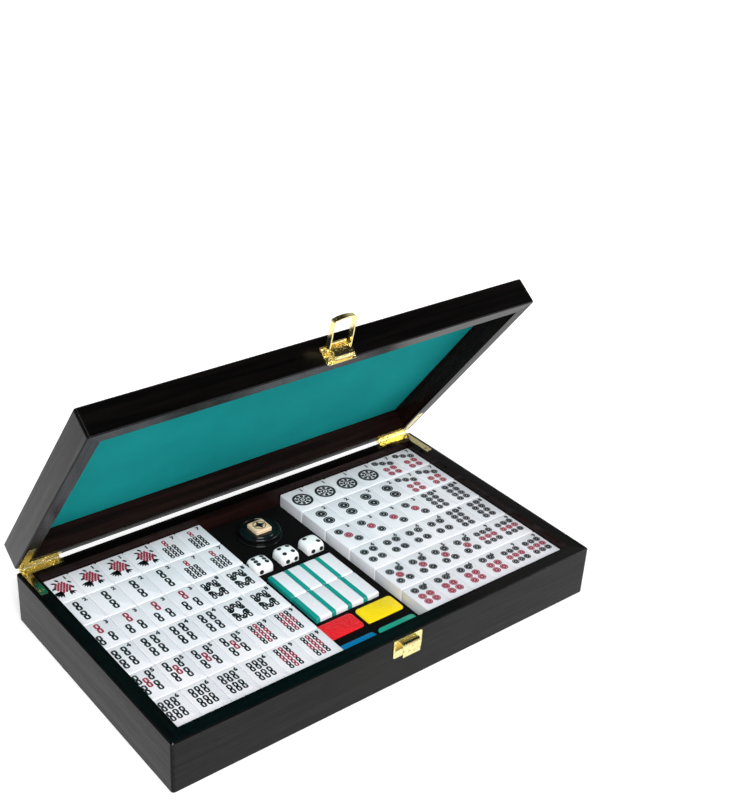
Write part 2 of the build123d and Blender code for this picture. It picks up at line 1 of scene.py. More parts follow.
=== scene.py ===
"""Dressed mahjong case: wood, cloth linings, gilt fittings, painted tiles, dice and counters.

Lengths are in millimetres until a piece becomes a mesh. Pieces of the lid are worked out as if
it were shut, and are then turned about the hinge axis to where the open lid holds them.
"""
import json
import logging
import math
from dataclasses import dataclass, field
from enum import Enum
from typing import Any, Dict, List, Sequence, Tuple, Union

import bmesh
import bpy
import numpy as np
from mathutils import Euler, Matrix, Vector

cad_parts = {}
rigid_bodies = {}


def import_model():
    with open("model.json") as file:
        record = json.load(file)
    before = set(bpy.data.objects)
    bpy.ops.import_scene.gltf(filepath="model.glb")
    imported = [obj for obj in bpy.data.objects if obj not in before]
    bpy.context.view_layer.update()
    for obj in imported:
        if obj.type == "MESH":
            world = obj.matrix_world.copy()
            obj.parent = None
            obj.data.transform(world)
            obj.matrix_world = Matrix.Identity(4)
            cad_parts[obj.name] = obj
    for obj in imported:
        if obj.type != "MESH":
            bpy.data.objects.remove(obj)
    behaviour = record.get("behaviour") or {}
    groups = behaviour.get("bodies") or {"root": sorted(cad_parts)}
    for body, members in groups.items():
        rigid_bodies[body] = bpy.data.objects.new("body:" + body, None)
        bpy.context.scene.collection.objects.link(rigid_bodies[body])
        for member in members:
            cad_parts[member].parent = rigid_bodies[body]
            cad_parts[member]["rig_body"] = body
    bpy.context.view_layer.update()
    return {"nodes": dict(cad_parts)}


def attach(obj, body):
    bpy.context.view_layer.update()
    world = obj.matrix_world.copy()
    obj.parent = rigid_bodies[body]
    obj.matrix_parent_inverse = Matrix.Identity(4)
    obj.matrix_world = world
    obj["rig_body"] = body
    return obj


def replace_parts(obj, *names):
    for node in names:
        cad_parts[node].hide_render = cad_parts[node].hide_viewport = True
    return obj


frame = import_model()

log = logging.getLogger("mahjong_case")

Array = np.ndarray
Colour = Tuple[float, float, float]
MILLI = 0.001

# Where the case stands in the shared frame, as its solids have it.
HINGE_Y = 106.0
HINGE_Z = 40.75
OPEN_ANGLE = math.radians(53.5)
INNER_X = 170.0
INNER_Y = 93.0
FLOOR = 6.0
LID_CEILING = 58.5
TILE_WIDTH = 22.0
TILE_HEIGHT = 30.0
TILE_PITCH = (22.1, 30.1)
BLOCK_X = 103.5
BLOCK_Y = 2.45
TILE_TOP = 34.0
TILE_FRONT = 10.8
TILE_BACK = 3.2
TRAY_TOP = 24.5
LATCH_X = 3.4
FRONT_Y = -104.0


# ---------------------------------------------------------------------------- surfaces
def add_object(name: str, data: bpy.types.ID) -> bpy.types.Object:
    """Put data into the scene as an object of its own.

    Args:
        name: the object's name.
        data: its mesh, curve, camera or lamp.

    Returns:
        The object, at the origin.
    """
    made = bpy.data.objects.new(name, data)
    bpy.context.scene.collection.objects.link(made)
    return made


def shade(mesh: bpy.types.Mesh, finish: "Finish", sharp: float) -> None:
    """Dress a mesh and smooth it.

    Args:
        mesh: what to shade.
        finish: the only finish that it gets.
        sharp: edges that bend by more than this many degrees stay sharp.
    """
    mesh.polygons.foreach_set("use_smooth", np.ones(len(mesh.polygons), bool))
    mesh.set_sharp_from_angle(angle=math.radians(sharp))
    mesh.materials.clear()
    mesh.materials.append(finish.material())
    mesh.update()


@dataclass
class Shape:
    """Points in millimetres and the faces between them."""

    points: Array
    faces: List[Array] = field(default_factory=list)

    def moved(self, x: float = 0.0, y: float = 0.0, z: float = 0.0) -> "Shape":
        """The shape, shifted."""
        return Shape(self.points + np.array([x, y, z]), self.faces)

    def turned(self, axis: str, degrees: float) -> "Shape":
        """The shape, turned about an axis through the origin."""
        turn = np.array(Matrix.Rotation(math.radians(degrees), 3, axis))
        return Shape(self.points @ turn.T, self.faces)

    def opened(self) -> "Shape":
        """Carry the shape from the shut lid to the open lid.

        Returns:
            The shape, turned about the hinge axis.
        """
        pivot = np.array([0.0, HINGE_Y, HINGE_Z])
        turn = np.array(Matrix.Rotation(-OPEN_ANGLE, 3, "X"))
        return Shape((self.points - pivot) @ turn.T + pivot, self.faces)

    def repeated(self, places: Array) -> "Shape":
        """Copies of the shape, one at each place.

        Args:
            places: shifts, as rows of x, y and z.

        Returns:
            One shape with every copy: the points of copy k are the points plus place k.
        """
        count = len(self.points)
        points = (places[:, None, :] + self.points[None]).reshape(-1, 3)
        step = np.arange(len(places)) * count
        faces = [(step[:, None, None] + face[None]).reshape(-1, face.shape[1]) for face in self.faces]
        return Shape(points, faces)

    @staticmethod
    def joined(shapes: Sequence["Shape"]) -> "Shape":
        """Put several shapes into one.

        Args:
            shapes: what to join.

        Returns:
            One shape with all their points and faces.
        """
        starts = np.cumsum([0] + [len(shape.points) for shape in shapes])
        faces = [face + start for shape, start in zip(shapes, starts) for face in shape.faces]
        return Shape(np.concatenate([shape.points for shape in shapes]), faces)

    def piece(
        self, name: str, body: str, slot: str, finish: "Finish", sharp: float = 40.0
    ) -> bpy.types.Object:
        """Make the shape a Blender piece that rides on a body.

        Args:
            name: the piece's name.
            body: the CAD body that carries it.
            slot: the record's material slot; not used.
            finish: what it is dressed in.
            sharp: edges that bend by more than this many degrees stay sharp.

        Returns:
            The object, at the origin, with its place in its mesh.
        """
        mesh = bpy.data.meshes.new(name)
        polygons = [row for face in self.faces for row in face.tolist()]
        mesh.from_pydata((self.points * MILLI).tolist(), [], polygons)
        shade(mesh, finish, sharp)
        piece = add_object(name, mesh)
        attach(piece, body)
        log.info("%s: %d faces on %s", name, len(mesh.polygons), body)
        return piece


def grid(points: Array, wrap: bool = False) -> Shape:
    """Surface through a grid of points.

    Args:
        points: an array of rows x columns x 3. A face's outside is on the side of
            (next row - row) x (next column - column).
        wrap: whether the last column joins the first.

    Returns:
        The surface, with a four-sided face between each four neighbours.
    """
    rows, columns = points.shape[:2]
    index = np.arange(rows * columns).reshape(rows, columns)
    if wrap:
        index = np.concatenate([index, index[:, :1]], axis=1)
    faces = np.stack([index[:-1, :-1], index[1:, :-1], index[1:, 1:], index[:-1, 1:]], axis=-1)
    return Shape(points.reshape(-1, 3), [faces.reshape(-1, 4)])


def rounded_outline(width: float, depth: float, radius: float, inset: Array, turns: int) -> Array:
    """Rounded rectangles, drawn in by each of several insets.

    Each corner is radius - inset times (cos t, sin t) about a centre that stays where it is,
    for t over a quarter turn, anticlockwise.

    Args:
        width: size along X.
        depth: size along Y.
        radius: the corners' radius before any inset.
        inset: how far each rectangle is drawn in.
        turns: steps in a corner.

    Returns:
        An array of insets x points x 2.
    """
    quarters = np.repeat(np.arange(4), turns + 1)
    turn = (quarters + np.tile(np.arange(turns + 1) / turns, 4)) * math.pi / 2
    signs = np.array([[1, 1], [-1, 1], [-1, -1], [1, -1]])[quarters]
    centres = signs * (np.array([width, depth]) / 2 - radius)
    reach = np.maximum(radius - np.atleast_1d(inset), 0.02)
    return centres[None] + reach[:, None, None] * np.stack([np.cos(turn), np.sin(turn)], -1)[None]


def rounded_slab(
    size: Tuple[float, float, float], corner: float, edge: float, low_edge: float = 0.0, turns: int = 4
) -> Shape:
    """Closed slab on z = 0 with rounded upright corners and rounded rims.

    Its sides are rings of a rounded rectangle. Over a rim the inset is edge (1 - cos a) and the
    height falls by edge (1 - sin a), for a over a quarter turn. Both ends are closed by one face.

    Args:
        size: its width, depth and height.
        corner: radius of the upright corners.
        edge: radius of the upper rim.
        low_edge: radius of the lower rim, 0 for a sharp one.
        turns: steps in a corner.

    Returns:
        The slab, centred on the Z axis.
    """
    width, depth, height = size
    bend = np.linspace(0, math.pi / 2, 4)
    low = np.array([0.0]) if low_edge == 0 else low_edge * (1 - np.sin(bend))
    low_z = np.array([0.0]) if low_edge == 0 else low_edge * (1 - np.cos(bend))
    inset = np.concatenate([low, edge * (1 - np.cos(bend))])
    z = np.concatenate([low_z, height - edge * (1 - np.sin(bend))])
    rings = rounded_outline(width, depth, corner, inset, turns)
    points = np.concatenate([rings, np.broadcast_to(z[:, None, None], rings.shape[:2] + (1,))], -1)
    shape = grid(points.transpose(1, 0, 2)[::-1].transpose(1, 0, 2), wrap=True)
    count = rings.shape[1]
    shape.faces += [np.arange(count)[None], np.arange(count * (len(z) - 1), count * len(z))[::-1][None]]
    return shape


def lathe(profile: Sequence[Tuple[float, float]], turns: int = 64) -> Shape:
    """Surface of revolution: (r cos t, r sin t, height) for t over a full turn.

    Args:
        profile: (radius, height) pairs, going up for an outer wall.
        turns: steps round the Z axis.

    Returns:
        The surface, open at the profile's ends.
    """
    line = np.array(profile, float)
    turn = np.linspace(0, 2 * math.pi, turns, endpoint=False)
    radius, height = line[:, :1], line[:, 1:]
    points = np.stack([radius * np.cos(turn), radius * np.sin(turn), height + 0 * turn], -1)
    return grid(points[:, ::-1], wrap=True)


def annulus(inner: float, outer: float, turns: int = 20) -> Shape:
    """Flat ring that faces up: r (cos t, sin t), from the inner to the outer radius.

    Args:
        inner: the hole's radius.
        outer: the ring's radius.
        turns: steps round it.

    Returns:
        The ring, round the origin.
    """
    turn = np.linspace(0, 2 * math.pi, turns, endpoint=False)
    radius = np.array([[inner], [outer]])
    points = np.stack([radius * np.cos(turn), radius * np.sin(turn), 0 * radius * turn], -1)
    return grid(points, wrap=True)


def disc(radius: float, turns: int = 12, stretch: float = 1.0) -> Shape:
    """Flat disc or oval that faces up: r (cos t, stretch sin t).

    Args:
        radius: half its width along X.
        turns: points round it.
        stretch: its height along Y as a share of its width.

    Returns:
        The disc, as one face round the origin.
    """
    turn = np.linspace(0, 2 * math.pi, turns, endpoint=False)
    points = np.stack([radius * np.cos(turn), stretch * radius * np.sin(turn), 0 * turn], -1)
    return Shape(points, [np.arange(turns)[None]])


def bar(width: float, length: float) -> Shape:
    """Flat bar that faces up, along Y."""
    x, y = width / 2, length / 2
    return Shape(np.array([[-x, -y, 0], [x, -y, 0], [x, y, 0], [-x, y, 0.0]]), [np.arange(4)[None]])


# ---------------------------------------------------------------------------- shader maths
class Wire:
    """One output of a finish's node tree. Arithmetic on it adds Math nodes."""

    def __init__(self, graph: "Graph", socket: bpy.types.NodeSocket) -> None:
        """Hold a socket and the graph that it belongs to."""
        self.graph = graph
        self.socket = socket

    def _math(self, operation: str, *values: Union["Wire", float]) -> "Wire":
        """One Math node on these values."""
        inputs = dict(enumerate(values))
        return self.graph.wire("ShaderNodeMath", {"operation": operation}, inputs)

    def __add__(self, other: Union["Wire", float]) -> "Wire":
        """self + other."""
        return self._math("ADD", self, other)

    def __radd__(self, other: float) -> "Wire":
        """other + self."""
        return self._math("ADD", other, self)

    def __sub__(self, other: Union["Wire", float]) -> "Wire":
        """self - other."""
        return self._math("SUBTRACT", self, other)

    def __rsub__(self, other: float) -> "Wire":
        """other - self."""
        return self._math("SUBTRACT", other, self)

    def __mul__(self, other: Union["Wire", float]) -> "Wire":
        """self * other."""
        return self._math("MULTIPLY", self, other)

    def __rmul__(self, other: float) -> "Wire":
        """other * self."""
        return self._math("MULTIPLY", other, self)

    def __truediv__(self, other: Union["Wire", float]) -> "Wire":
        """self / other."""
        return self._math("DIVIDE", self, other)

    def __lt__(self, other: Union["Wire", float]) -> "Wire":
        """1 where self < other, else 0."""
        return self._math("LESS_THAN", self, other)

    def __abs__(self) -> "Wire":
        """Size of self without its sign."""
        return self._math("ABSOLUTE", self)

    def sine(self) -> "Wire":
        """Sine of self, in radians."""
        return self._math("SINE", self)

    def floor(self) -> "Wire":
        """Whole number below self."""
        return self._math("FLOOR", self)

    def ramp(self, low: float, high: float, start: float = 0.0, end: float = 1.0) -> "Wire":
        """Start where self is below low, end where it is above high, and smooth in between."""
        inputs = {0: self, 1: low, 2: high, 3: start, 4: end}
        return self.graph.wire("ShaderNodeMapRange", {"interpolation_type": "SMOOTHSTEP"}, inputs)

    def part(self, index: int) -> "Wire":
        """X, Y or Z of a vector."""
        return self.graph.wire("ShaderNodeSeparateXYZ", {}, {0: self}, index)


class Graph:
    """Node tree of one finish or of the surroundings, round its shader."""

    def __init__(self, owner: Union[bpy.types.Material, bpy.types.World], shader: str) -> None:
        """Start from the owner's own shader.

        Args:
            owner: the material or the world.
            shader: the name of its shader node.
        """
        owner.use_nodes = True
        self.tree = owner.node_tree
        self.shader = self.tree.nodes[shader]

    def wire(
        self, kind: str, settings: Dict[str, Any], inputs: Dict[Any, Any], output: Union[int, str] = 0
    ) -> Wire:
        """Add one node.

        Args:
            kind: the node's type.
            settings: its properties, which are set first.
            inputs: socket name or number to a Wire or a plain value.
            output: the name or the number of the output that is wanted.

        Returns:
            That output.
        """
        node = self.tree.nodes.new(kind)
        for key, value in settings.items():
            setattr(node, key, value)
        for key, value in inputs.items():
            self.feed(node.inputs[key], value)
        return Wire(self, node.outputs[output])

    def feed(self, socket: bpy.types.NodeSocket, value: Any) -> None:
        """Link a Wire to a socket, or set the socket's own value.

        Args:
            socket: the input.
            value: a Wire, or a plain value.
        """
        if isinstance(value, Wire):
            self.tree.links.new(value.socket, socket)
        else:
            socket.default_value = value

    def dress(self, **inputs: Any) -> None:
        """Feed the shader's sockets, named with underscores for spaces."""
        for key, value in inputs.items():
            self.feed(self.shader.inputs[key.replace("_", " ")], value)

    def place(self, in_lid: bool = False) -> Wire:
        """Object coordinates in metres.

        Args:
            in_lid: whether they are turned back to where the shut lid has them.

        Returns:
            The coordinates, as a vector.
        """
        place = self.wire("ShaderNodeTexCoord", {}, {}, "Object")
        if not in_lid:
            return place
        pivot = Vector((0.0, HINGE_Y, HINGE_Z)) * MILLI
        shift = pivot - Matrix.Rotation(OPEN_ANGLE, 3, "X") @ pivot
        turn = (OPEN_ANGLE, 0.0, 0.0)
        return self.wire("ShaderNodeMapping", {}, {0: place, 1: shift, 2: turn})

    def scaled(self, vector: Wire, factors: Tuple[float, float, float]) -> Wire:
        """A vector times a factor along each axis."""
        return self.wire("ShaderNodeVectorMath", {"operation": "MULTIPLY"}, {0: vector, 1: factors})

    def noise(self, vector: Wire, scale: float, detail: float = 3.0, rough: float = 0.55) -> Wire:
        """Fractal noise from 0 to 1."""
        inputs = {"Vector": vector, "Scale": scale, "Detail": detail, "Roughness": rough}
        return self.wire("ShaderNodeTexNoise", {}, inputs)

    def blend(self, factor: Union[Wire, float], first: Any, second: Any) -> Wire:
        """Colour between the first, at factor 0, and the second, at 1."""
        inputs = {0: factor, 6: self.paint(first), 7: self.paint(second)}
        return self.wire("ShaderNodeMix", {"data_type": "RGBA"}, inputs, 2)

    @staticmethod
    def paint(colour: Any) -> Any:
        """A colour with its alpha, or the Wire that it already is."""
        return colour if isinstance(colour, Wire) else (*colour, 1.0)

    def bump(self, height: Wire, distance: float, strength: float = 1.0) -> None:
        """Feed the shader's normal with a relief that is distance metres deep."""
        inputs = {"Height": height, "Distance": distance, "Strength": strength}
        self.dress(Normal=self.wire("ShaderNodeBump", {}, inputs))


# ---------------------------------------------------------------------------- finishes
@dataclass(frozen=True)
class Finish:
    """What a piece is dressed in."""

    name: str

    def material(self) -> bpy.types.Material:
        """Make the finish's material, or find it where it has been made.

        Returns:
            The material.
        """
        found = bpy.data.materials.get(self.name)
        if found is None:
            found = bpy.data.materials.new(self.name)
            self.build(Graph(found, "Principled BSDF"))
        return found

    def build(self, graph: Graph) -> None:
        """Dress the graph's shader."""
        raise NotImplementedError

    def dress_nodes(self, *names: str) -> None:
        """Give CAD nodes this finish."""
        for name in names:
            node = frame["nodes"][name]
            node.data.materials.clear()
            node.data.materials.append(self.material())


class Grain(Enum):
    """Which way a board's grain runs, as its stretch along X, Y and Z."""

    ALONG_X = (9.0, 240.0, 240.0)
    ALONG_Y = (240.0, 9.0, 240.0)


@dataclass(frozen=True)
class StainedWood(Finish):
    """Dark stained wood under a satin lacquer, redder inside the case."""

    grain: Grain = Grain.ALONG_X
    in_lid: bool = False
    dark: Colour = (0.0009, 0.0008, 0.0008)
    light: Colour = (0.0026, 0.0021, 0.0019)
    inner: Colour = (0.0150, 0.0058, 0.0048)
    inner_dark: Colour = (0.0056, 0.0026, 0.0023)
    shine: float = 0.16
    side_margin: float = 0.25
    level_margin: float = 0.2

    def inside(self, place: Wire) -> Wire:
        """Find the faces that look into the case.

        Args:
            place: coordinates in metres, with the lid shut.

        Returns:
            1 within the inner walls, the floor and the lid's ceiling, and 0 outside.
        """
        middle, reach = (FLOOR + LID_CEILING) / 2, (LID_CEILING - FLOOR) / 2
        across = abs(place.part(0)) < (INNER_X + self.side_margin) * MILLI
        along = abs(place.part(1)) < (INNER_Y + self.side_margin) * MILLI
        level = abs(place.part(2) - middle * MILLI) < (reach + self.level_margin) * MILLI
        return across * along * level

    def build(self, graph: Graph) -> None:
        """Long streaks of two tones, fine pores, and a lacquer that is a little uneven.

        Args:
            graph: what to build it in.
        """
        place = graph.place(self.in_lid)
        along = graph.scaled(place, self.grain.value)
        streak = graph.noise(along, scale=1.0, detail=5.0, rough=0.6)
        pores = graph.noise(along, scale=5.0, detail=2.0, rough=0.7)
        cloud = graph.noise(place, scale=9.0, detail=2.0)
        outer = graph.blend(streak.ramp(0.35, 0.7), self.dark, self.light)
        inner = graph.blend(streak.ramp(0.35, 0.7), self.inner_dark, self.inner)
        graph.dress(
            Base_Color=graph.blend(self.inside(place), outer, inner),
            Roughness=0.15 + 0.10 * cloud + 0.05 * pores,
            Specular_IOR_Level=self.shine,
            Coat_Weight=0.12 * streak.ramp(0.35, 0.65) * pores.ramp(0.3, 0.6),
            Coat_Roughness=0.18,
        )
        graph.bump(streak * 0.6 + pores * 0.4, distance=0.00009)


@dataclass(frozen=True)
class Cloth(Finish):
    """Flat glued cloth with a fine weave and a short nap."""

    colour: Colour = (0.0080, 0.3400, 0.3400)
    deep: Colour = (0.0050, 0.2750, 0.2800)
    in_lid: bool = True
    thread: float = 0.55

    def build(self, graph: Graph) -> None:
        """Two crossed sines for the weave, fine noise for the nap and a broad cloud of tone.

        Args:
            graph: what to build it in.
        """
        place = graph.place(self.in_lid)
        pace = 2 * math.pi / (self.thread * MILLI)
        weave = (place.part(0) * pace).sine() * (place.part(1) * pace).sine()
        nap = graph.noise(place, scale=1600.0, detail=2.0, rough=0.7)
        cloud = graph.noise(place, scale=14.0)
        tone = (cloud * 0.6 + nap * 0.4).ramp(0.3, 0.7)
        graph.dress(
            Base_Color=graph.blend(tone, self.deep, self.colour),
            Roughness=0.78 + 0.15 * nap,
            Specular_IOR_Level=0.08,
        )
        graph.bump(weave * 0.35 + nap, distance=0.00012, strength=0.7)


@dataclass(frozen=True)
class Melamine(Finish):
    """Polished hard plastic of the tiles, each a little different."""

    colour: Colour = (0.815, 0.800, 0.835)
    shade: Colour = (0.725, 0.725, 0.770)
    pitch: Tuple[float, float] = TILE_PITCH
    gloss: float = 0.24

    def build(self, graph: Graph) -> None:
        """A tone for each tile from the cell that it lies in, faint clouds and fine scuffs.

        Args:
            graph: what to build it in.
        """
        place = graph.place()
        cell_x = (place.part(0) / (self.pitch[0] * MILLI)).floor()
        cell_y = (place.part(1) / (self.pitch[1] * MILLI)).floor()
        cell = graph.wire("ShaderNodeCombineXYZ", {}, {0: cell_x, 1: cell_y})
        each = graph.wire("ShaderNodeTexWhiteNoise", {"noise_dimensions": "2D"}, {"Vector": cell})
        cloud = graph.noise(place, scale=45.0)
        scuff = graph.noise(place, scale=900.0, rough=0.7)
        tone = (each * 0.25 + cloud * 0.5 + scuff * 0.25).ramp(0.25, 0.75)
        graph.dress(
            Base_Color=graph.blend(tone, self.shade, self.colour),
            Roughness=self.gloss + 0.16 * scuff,
            Coat_Weight=0.15 * cloud,
            Coat_Roughness=0.12,
        )
        graph.bump(cloud * 0.5 + scuff * 0.5, distance=0.00004)


@dataclass(frozen=True)
class Gilt(Finish):
    """Pale gilt plating on pressed steel, with drawn lines and small dark spots that are partly thin
    plating and partly painted shade.
    """

    colour: Colour = (1.00, 0.87, 0.43)
    speckle_and_shade: Colour = (0.30, 0.21, 0.05)

    def build(self, graph: Graph) -> None:
        """Fine drawn lines along X, and spots where the plating is thin, made darker as painted shade
        for the dark reflections.

        Args:
            graph: what to build it in.
        """
        place = graph.place()
        lines = graph.noise(graph.scaled(place, (60.0, 2600.0, 2600.0)), scale=1.0, detail=2.0)
        # Dark spots: the plating's own speckles, deepened with painted shade that stands in for dark
        # reflections.
        spots = graph.noise(place, scale=420.0, detail=4.0, rough=0.65).ramp(0.54, 0.66)
        cloud = graph.noise(place, scale=90.0, detail=2.0)
        graph.dress(
            Base_Color=graph.blend(spots * 0.50 + cloud * 0.15, self.colour, self.speckle_and_shade),
            Metallic=1.0,
            Roughness=0.12 + 0.10 * lines + 0.12 * spots,
        )
        graph.bump(lines * 0.3 + cloud * 0.7, distance=0.00005)


@dataclass(frozen=True)
class Moulded(Finish):
    """Plain moulded plastic in one colour, with a faint moulding texture.

    Its gloss is the least roughness, its tint how much darker its clouds are, and its texture
    the depth of its pits in metres.
    """

    colour: Colour = (0.5, 0.5, 0.5)
    gloss: float = 0.28
    tint: float = 0.12
    texture: float = 0.00003
    shine: float = 0.5

    def build(self, graph: Graph) -> None:
        """A little darker in clouds, with fine pits.

        Args:
            graph: what to build it in.
        """
        place = graph.place()
        cloud = graph.noise(place, scale=60.0)
        pits = graph.noise(place, scale=1300.0, detail=2.0, rough=0.7)
        deep = tuple(part * (1 - self.tint) for part in self.colour)
        graph.dress(
            Base_Color=graph.blend(cloud.ramp(0.3, 0.7), deep, self.colour),
            Roughness=self.gloss + 0.1 * pits,
            Specular_IOR_Level=self.shine,
        )
        graph.bump(pits * 0.6 + cloud * 0.4, distance=self.texture)


@dataclass(frozen=True)
class Enamel(Finish):
    """Paint in the engraved lines of a tile."""

    colour: Colour = (0.008, 0.011, 0.013)
    worn: Colour = (0.030, 0.038, 0.042)

    def build(self, graph: Graph) -> None:
        """Even paint that thins a little in fine spots.

        Args:
            graph: what to build it in.
        """
        thin = graph.noise(graph.place(), scale=700.0, detail=2.0).ramp(0.5, 0.8)
        graph.dress(
            Base_Color=graph.blend(thin, self.colour, self.worn),
            Roughness=0.35 + 0.2 * thin,
            Specular_IOR_Level=0.25,
        )
        graph.bump(thin, distance=0.00002)


@dataclass(frozen=True)
class PlainWood(Finish):
    """Light wood without stain, for the marker's cube."""

    light: Colour = (0.80, 0.62, 0.42)
    dark: Colour = (0.62, 0.43, 0.25)

    def build(self, graph: Graph) -> None:
        """Growth rings as sines of the height, bent by noise, with fine fibres along X.

        Args:
            graph: what to build it in.
        """
        place = graph.place()
        bend = graph.noise(place, scale=120.0)
        fibre = graph.noise(graph.scaled(place, (120.0, 1500.0, 1500.0)), scale=1.0)
        rings = (place.part(2) * 3600.0 + place.part(1) * 1500.0 + bend * 7.0).sine() * 0.5 + 0.5
        tone = (rings * 0.55 + fibre * 0.45).ramp(0.2, 0.85)
        graph.dress(Base_Color=graph.blend(tone, self.light, self.dark), Roughness=0.45 + 0.15 * fibre)
        graph.bump(fibre * 0.6 + rings * 0.4, distance=0.00008)


GILT = Gilt("gilt_plating")
TILE_WHITE = Melamine("tile_melamine")
TILE_TEAL = Melamine("tile_back_melamine", (0.006, 0.300, 0.255), (0.004, 0.245, 0.210))
DARK_PAINT = Enamel("tile_paint_dark")
RED_PAINT = Enamel("tile_paint_red", (0.290, 0.022, 0.050), (0.360, 0.080, 0.105))
TRAY_BLACK = Moulded(
    "tray_flock", (0.0034, 0.0030, 0.0030), gloss=0.72, tint=0.25, texture=0.00015, shine=0.06
)
STAND_BLACK = Moulded(
    "stand_black", (0.0040, 0.0040, 0.0044), gloss=0.10, tint=0.1, texture=0.00002, shine=0.28
)
# Painted shade: the flat dark cross that stands for the hollow of each screw's recess.
RECESS_SHADE = Moulded("screw_recess_shade", (0.035, 0.022, 0.008), gloss=0.5, tint=0.2)


# ---------------------------------------------------------------------------- wooden case
@dataclass
class WoodenCase:
    """Walls and panels of the base and the lid, which keep their CAD solids."""

    boards: Dict[str, Grain] = field(
        default_factory=lambda: {
            "front_wall": Grain.ALONG_X,
            "back_wall": Grain.ALONG_X,
            "left_wall": Grain.ALONG_Y,
            "right_wall": Grain.ALONG_Y,
        }
    )
    shaded_shine: float = 0.08

    def dress(self) -> None:
        """Stain each board along its own grain. All but the fronts get less shine, as painted shade that
        darkens the sides where less light is reflected.
        """
        for part, in_lid in (("base", False), ("lid", True)):
            for board, grain in self.boards.items():
                # Less shine on all but the fronts: painted shade for the darker reflections that those
                # faces get.
                shine = StainedWood.shine if board == "front_wall" else self.shaded_shine
                stain = StainedWood(f"{part}_{board}_stain", grain, in_lid, shine=shine)
                stain.dress_nodes(f"{part}_{board}")
        StainedWood("floor_panel_stain", Grain.ALONG_X, False).dress_nodes("base_floor_panel")
        StainedWood("top_panel_stain", Grain.ALONG_X, True).dress_nodes("lid_top_panel")
        log.info("wooden case: %d walls and 2 panels dressed", 2 * len(self.boards))


@dataclass
class Linings:
    """Cloth glued inside the lid and on the base's floor."""

    half_width: float = 169.7
    half_depth: float = 92.7
    lid_level: float = 58.0
    floor_level: float = FLOOR
    thickness: float = 0.4
    ripple: float = 0.10
    roll: float = 0.25
    roll_width: float = 1.2

    def cloth(self, level: float, facing: int) -> Shape:
        """Sheet on a grid of x and y.

        Its height is the level, less a ripple of crossed sines, and it rolls away from the
        room over roll_width at each edge.

        Args:
            level: the height of the cloth's face.
            facing: 1 for up, -1 for down.

        Returns:
            The sheet's face, without thickness.
        """
        x = self.half_width * np.sin(np.linspace(-math.pi / 2, math.pi / 2, 91))
        y = self.half_depth * np.sin(np.linspace(-math.pi / 2, math.pi / 2, 61))
        grid_x, grid_y = np.meshgrid(x, y, indexing="ij")
        waves = 0.25 * np.sin(grid_x / 31) + 0.25 * np.sin(grid_y / 19 + grid_x / 57)
        ripple = self.ripple * (0.5 + waves)
        edge = np.minimum(self.half_width - abs(grid_x), self.half_depth - abs(grid_y))
        roll = self.roll * np.clip(1 - edge / self.roll_width, 0, 1) ** 2
        height = level - facing * (ripple + roll)
        points = np.stack([grid_x, grid_y, height], -1)
        return grid(points if facing > 0 else points[::-1])

    def finish_sheet(self, piece: bpy.types.Object) -> None:
        """Give a sheet its thickness, behind its face.

        Args:
            piece: the sheet's face.
        """
        wall = piece.modifiers.new("thickness", "SOLIDIFY")
        wall.thickness = self.thickness * MILLI
        wall.offset = -1.0

    def build(self) -> None:
        """Make both sheets in place of their solids."""
        teal = Cloth("teal_cloth")
        lid = self.cloth(self.lid_level, -1).opened().piece("lid_cloth", "lid", "lid_cloth", teal)
        self.finish_sheet(lid)
        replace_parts(lid, "lid_lining")
        black = Cloth("black_felt", (0.010, 0.010, 0.011), (0.006, 0.006, 0.007), in_lid=False)
        floor = self.cloth(self.floor_level, 1).piece("floor_felt", "base", "floor_felt", black)
        self.finish_sheet(floor)
        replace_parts(floor, "base_floor_lining")


# ---------------------------------------------------------------------------- tiles
class Ink(Enum):
    """Paint that a mark is filled with."""

    DARK = "dark"
    RED = "red"


class Suit(Enum):
    """Designs that a block of tiles shows."""

    BAMBOO = "bamboo"
    DOTS = "dots"


Place = Tuple[float, float, float, Ink]


@dataclass
class Mark:
    """One engraved mark on a tile's face: a flat shape, its paint, and where it lies."""

    shape: Shape
    ink: Ink = Ink.DARK
    x: float = 0.0
    y: float = 0.0
    turn: float = 0.0

    def placed(self) -> Shape:
        """The mark in the tile's plan, whose centre is the origin and whose top is +Y."""
        return self.shape.turned("Z", self.turn).moved(self.x, self.y)


